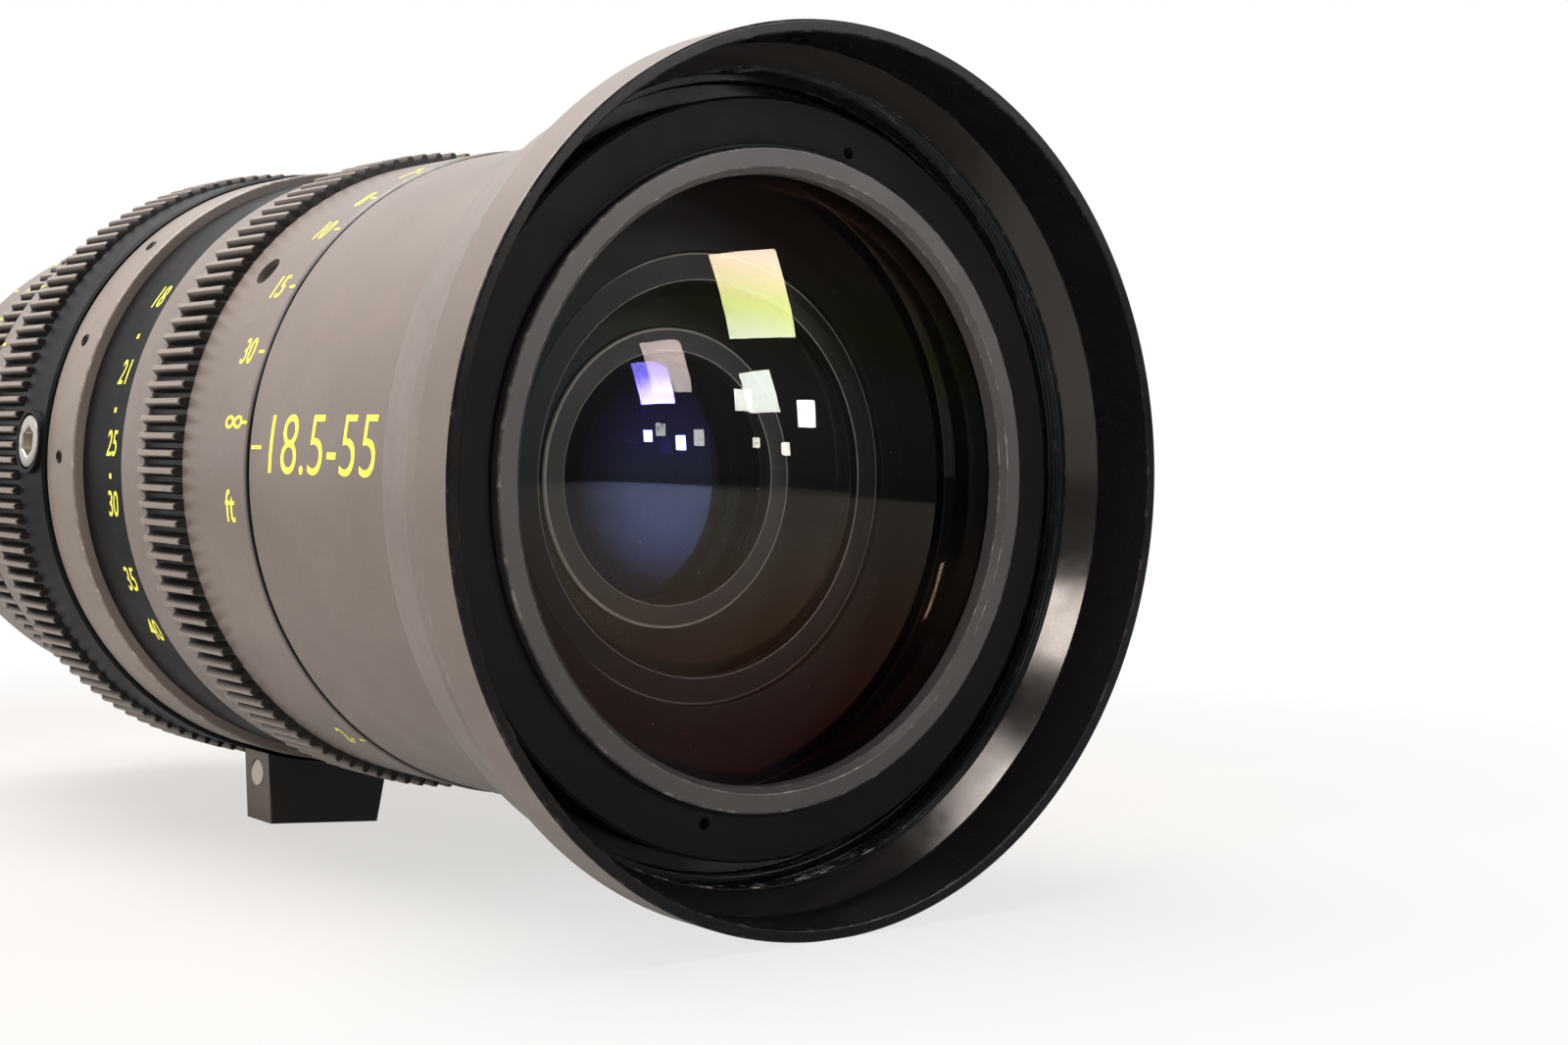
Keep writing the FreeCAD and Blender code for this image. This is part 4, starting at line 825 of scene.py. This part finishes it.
def tick(name, radius, front, length, angle, width, body):
    """A short painted line along the axis: a small closed patch bent onto the round. It is a
    grid of four columns across and four corners round each, closed by its two end faces."""
    across = np.array([-0.5, -0.17, 0.17, 0.5]) * width
    low, high = radius + 0.003 * MM, radius + 0.035 * MM
    turns = math.radians(angle) + across / radius
    grid = np.stack([
        spin(np.full(4, r), np.full(4, y), turns)
        for r, y in ((low, front), (high, front), (high, front + length), (low, front + length))
    ], 1)
    sides = np.array([[i * 4 + j, (i + 1) * 4 + j, (i + 1) * 4 + (j + 1) % 4, i * 4 + (j + 1) % 4]
                      for i in range(3) for j in range(4)])
    ends = np.array([[0, 1, 2, 3], [15, 14, 13, 12]])
    piece = build_mesh(name, grid, [np.concatenate([sides, ends])], [YELLOW], smooth=False)
    return add_piece(piece, body, "barrel_gray")


# Distances on the focus ring: name, text and angle from the top, in degrees
FOCUS_MARKS = (
    ("infinity", "∞", 86.0), ("thirty", "30", 74.0), ("fifteen", "15", 61.8),
    ("ten", "10", 48.9), ("eight", "8", 40.1), ("seven", "7", 30.0), ("six", "6", 18.0),
    ("five", "5", 4.0), ("four_half", "4.5", -14.0), ("four", "4", -33.0),
    ("three_half", "3.5", -56.0), ("three", "3", -82.0), ("two_half", "2.5", -110.0),
    ("two_near", "2.3", -145.0), ("two", "2", -168.0), ("close", "2-", 146.6),
)


def mark_focus():
    """The distance scale on the focus ring: a tick and a number at each distance, the number
    set back by its own width."""
    radius, front = radius_of("focus_ring"), front_of("focus_ring")
    letter = DIGIT_WIDTH * 0.62 * 5.2 * MM
    for name, text, angle in FOCUS_MARKS:
        tick(f"focus_tick_{name}", radius, front + 0.45 * MM, 1.5 * MM, angle, 0.42 * MM, "focus")
        size, narrow, wide = 5.4 * MM, DIGIT_WIDTH, letter * len(text)
        if name == "infinity":
            size, narrow, wide = 4.6 * MM, 1.35, letter * 2.1
        marking(f"focus_number_{name}", text, size, radius, front + 2.6 * MM + wide, angle,
                "focus", narrow=narrow)
    marking("focus_unit", "ft", 6.4 * MM, radius, front + 6.6 * MM, 100.1, "focus",
            narrow=0.8, slant=0.04)


def mark_barrel():
    """The index line and the large range number on the front barrel."""
    rear, side = back_of("front_barrel"), 90.0
    tick("focus_index", BARREL_RADIUS, rear - 3.6 * MM, 3.0 * MM, side, 0.5 * MM, "barrel")
    marking("range_number", "18.5-55", 11.6 * MM, BARREL_RADIUS, rear - 3.9 * MM, side, "barrel",
            narrow=0.92, slant=0.05, bold=-0.10 * MM)


# Focal lengths on the centre band: angle from the top, in degrees, and text
BAND_MARKS = (
    (61.4, "18"), (76.9, "21"), (90.1, "25"), (101.1, "30"), (115.3, "35"), (125.8, "40"),
)
BAND_DOTS = (69.6, 83.8, 95.8)


def mark_centre_band():
    """The numbers and dots on the centre band."""
    radius = radius_of("centre_band")
    back = front_of("centre_band") + 6.2 * MM
    dot = 0.8 * MM
    for index, (angle, text) in enumerate(BAND_MARKS):
        marking(f"band_number_{index + 1}", text, 5.6 * MM, radius, back, angle, "barrel")
    for index, angle in enumerate(BAND_DOTS):
        tick(f"band_dot_{index + 1}", radius, back - 2 * MM, dot, angle, dot, "barrel")


def mark_ring(body, numbers, step, size, along):
    """Numbers at equal steps round a ring, each with a tick near the ring's rear edge."""
    radius, rear = radius_of(f"{body}_ring"), back_of(f"{body}_ring")
    for index, number in enumerate(numbers):
        angle = FIRST_NUMBER - step * index
        marking(f"{body}_number_{index + 1}", number, size, radius, along, angle, body)
        tick(f"{body}_tick_{index + 1}", radius, rear - 2.4 * MM, TICK_LENGTH, angle, TICK_WIDTH,
             body)


mark_focus()
mark_barrel()
mark_centre_band()
mark_ring("zoom", ("18.5", "21", "25", "30", "35", "40", "45", "50", "55"), 15, 5.4 * MM,
          back_of("zoom_ring") - 6 * MM)
mark_ring("iris", ("2.8", "4", "5.6", "8", "11", "16", "22"), 12.5, 4.8 * MM,
          front_of("iris_ring") + 18 * MM)


# Screws

def cap_screw(name, radius, height, socket, turn, body, *nodes, finish=SCREW):
    """A socket screw on a grid: rows run up the head, over its crown, down the six-sided socket
    and to its middle. The socket's radius at angle a is its half width over the cosine of a
    folded into one sixth of a turn. The rows are then laid on the screw's own axis."""
    segments, crown, lip = 96, 0.35 * MM, 0.15 * MM
    angle = angles_round(segments).ravel()
    sixth = TURN / 6
    hexagon = socket / np.cos((angle % sixth) - sixth / 2)
    ring = np.ones(segments)
    rows = [
        (ring * radius, 0.0), (ring * radius, height - crown),
        (ring * (radius - 0.1 * MM), height - 0.1 * MM), (ring * (radius - crown), height),
        (hexagon + lip, height), (hexagon, height - lip),
        (hexagon, height * 0.35), (hexagon * 0.5, height * 0.3),
    ]
    points = np.stack([
        np.stack([r * np.cos(angle), r * np.sin(angle), ring * h], -1) for r, h in rows
    ], 1)
    ends = np.array([[0, 0, 0], [0, 0, height * 0.28]])
    facing, place = np.array(turn.to_3x3()).T, np.array(turn.translation)
    screw = capped(name, points @ facing + place, ends @ facing + place, [finish])
    screw.data.set_sharp_from_angle(angle=math.radians(35))
    return add_piece(screw, body, "screw_steel", *nodes)


def turned_to(degrees, axis, place):
    """A matrix that turns about an axis and then moves to a place."""
    return Matrix.Translation(place) @ Matrix.Rotation(math.radians(degrees), 4, axis)


def make_side_screw():
    """The bright screw in the boss on the left side."""
    low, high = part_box("side_screw")
    middle = (low + high) / 2
    height = 2.4 * MM
    place = Vector((low.x + height, middle.y, middle.z))
    cap_screw("side_cap_screw", 4.25 * MM, height, 2.2 * MM, turned_to(-90, "Y", place),
              "barrel", "side_screw")


def make_grub_screws():
    """The small dark screws let into the support ring."""
    along, seat = behind(133.5), radius_of("support_ring") - 0.1 * MM
    for index, angle in enumerate((48.6, 70.6, 92.6)):
        place = Vector(spin(seat, along, math.radians(angle)))
        cap_screw(f"support_grub_screw_{index + 1}", 1.1 * MM, 0.35 * MM, 0.55 * MM,
                  turned_to(-angle, "Y", place), "barrel", finish=CELL_BLACK_AND_GAP_SHADE)


def make_mount_screws():
    """The four socket screws that hold the mount plate, let into its rear face."""
    circle, seat = 28.8 * MM, back_of("mount_screws") - 1.2 * MM
    for index in range(4):
        place = Vector(spin(circle, seat, -index * TURN / 4))
        cap_screw(f"mount_socket_screw_{index + 1}", 1.5 * MM, 1.15 * MM, 0.75 * MM,
                  turned_to(-90, "X", place), "barrel", "mount_screws")


make_side_screw()
make_grub_screws()
make_mount_screws()


# Camera, floor and light

SENSOR, LENS = 36.0, 49.5
EYE = Vector((-0.17443, -0.43170, -0.00839))
AHEAD = Vector((0.62851, 0.77771, 0.01150)).normalized()
UPWARD = Vector((-0.06275, 0.03596, 0.99738)).normalized()


def make_camera():
    """The camera at the photograph's place, looking along AHEAD with UPWARD up."""
    data = bpy.data.cameras.new("view_camera")
    data.sensor_width, data.lens = SENSOR, LENS
    data.clip_start, data.clip_end = 0.01, 50.0
    camera = link_object("view_camera", data)
    side = AHEAD.cross(UPWARD).normalized()
    top = side.cross(AHEAD)
    turn = Matrix((side, top, -AHEAD)).transposed().to_4x4()
    camera.matrix_world = Matrix.Translation(EYE) @ turn
    bpy.context.scene.camera = camera


def floor_finish():
    """White cloth, which takes the object's shadow near it and glows to white further out. In
    the object's gloss it glows less, and hardly at all in the distance."""
    finish, shader, add, place = new_finish("white_table")
    nodes = finish.node_tree.nodes
    nodes.remove(shader)
    far = add("ShaderNodeVectorMath", {0: place}, operation="LENGTH").outputs["Value"]
    path = add("ShaderNodeLightPath").outputs
    seen = worked(add, "MAXIMUM", path["Is Camera Ray"], path["Is Glossy Ray"])
    seen = worked(add, "MAXIMUM", seen, path["Is Transmission Ray"])
    share = worked(add, "MULTIPLY", seen, ranged(add, far, 0.16, 0.37, 0.66, 1.0))
    mirrored = ranged(add, far, 1.0, 1.15, 0.46, 0.08)
    glowing = worked(add, "MAXIMUM", mirrored, path["Is Camera Ray"])
    cloud = ranged(add, noise(add, place, 9, 4), *NOISE_SPAN, 0, 1)
    tint = blended(add, cloud, (0.32, 0.305, 0.29, 1), (0.36, 0.345, 0.33, 1))
    tint = blended(add, seen, (0.70, 0.68, 0.65, 1), tint)
    cloth = add("ShaderNodeBsdfDiffuse", {"Color": tint})
    # The glow is warmer near the object: a painted warm light on the cloth round it.
    painted_warm_glow = blended(add, ranged(add, far, 0.1, 0.34, 0, 1), (1, 0.97, 0.94, 1), (1, 1, 1, 1))
    glow = add("ShaderNodeEmission", {"Color": painted_warm_glow, "Strength": glowing})
    both = add("ShaderNodeMixShader", {0: share, 1: cloth.outputs[0], 2: glow.outputs[0]})
    fill_inputs(nodes["Material Output"], {"Surface": both.outputs[0]})
    return finish


def make_floor():
    """A square table top that faces UPWARD and touches the rim's lowest point."""
    half = 3.0
    contact = Vector((0, RIM, -RIM_RADIUS))
    side = UPWARD.cross(Vector((0, 1, 0))).normalized()
    away = UPWARD.cross(side)
    corners = [contact + side * a * half + away * b * half
               for a, b in ((-1, -1), (1, -1), (1, 1), (-1, 1))]
    mesh = bpy.data.meshes.new("table")
    mesh.from_pydata([tuple(c) for c in corners], [], [(0, 1, 2, 3)])
    mesh.materials.append(floor_finish())
    table = link_object("table", mesh)


def make_world():
    """Surroundings: white to the eye, and for the object a bright room behind it and a dim one
    in front of its glass."""
    world = bpy.data.worlds.new("studio")
    world.use_nodes = True
    world.node_tree.nodes.clear()
    bpy.context.scene.world = world
    add = node_adder(world.node_tree)
    place = add("ShaderNodeTexCoord").outputs["Generated"]
    room = ranged(add, split(add, place)["Y"], -0.15, 0.6, 0.09, 0.95)
    seen = add("ShaderNodeLightPath").outputs["Is Camera Ray"]
    strength = worked(add, "MAXIMUM", room, seen)
    glow = add("ShaderNodeBackground", {"Color": (1, 1, 1, 1), "Strength": strength})
    add("ShaderNodeOutputWorld", {"Surface": glow.outputs[0]})


def area_light(name, place, target, width, height, power, colour):
    """A soft rectangular lamp that faces a target."""
    data = bpy.data.lights.new(name, "AREA")
    data.shape = "RECTANGLE"
    data.size, data.size_y, data.energy, data.color = width, height, power, colour
    lamp = link_object(name, data)
    lamp.location = place
    lamp.rotation_euler = (Vector(target) - Vector(place)).to_track_quat("-Z", "Y").to_euler()
    return lamp


# Windows that show in the front glass: name, place, width, height and power. They face one
# place on the glass
WINDOWS = (
    ("window", (0.996, -1.723, 0.874), 0.42, 0.40, 13.0),
    ("far_window", (1.267, -1.725, 0.363), 0.12, 0.12, 1.4),
    ("far_lamp", (0.928, -1.938, 0.414), 0.10, 0.10, 0.8),
)
GLASS_FRONT = (-0.008, -0.2165, 0.023)


def make_lights():
    """A soft light overhead, a panel at the left, and windows that only gloss shows."""
    area_light("overhead_soft", (-0.30, 0.0, 0.95), (0, -0.12, 0), 0.9, 0.9, 31.0,
               (1.0, 0.985, 0.965))
    area_light("left_panel", (-1.08, -0.58, 0.62), (0, -0.16, 0), 0.34, 0.40, 4.6,
               (1.0, 0.97, 0.94))
    for name, place, width, height, power in WINDOWS:
        window = area_light(name, place, GLASS_FRONT, width, height, power, (1.0, 0.98, 0.97))
        window.visible_diffuse = False


make_camera()
make_floor()
make_world()
make_lights()

bpy.context.scene.view_settings.view_transform = "Standard"
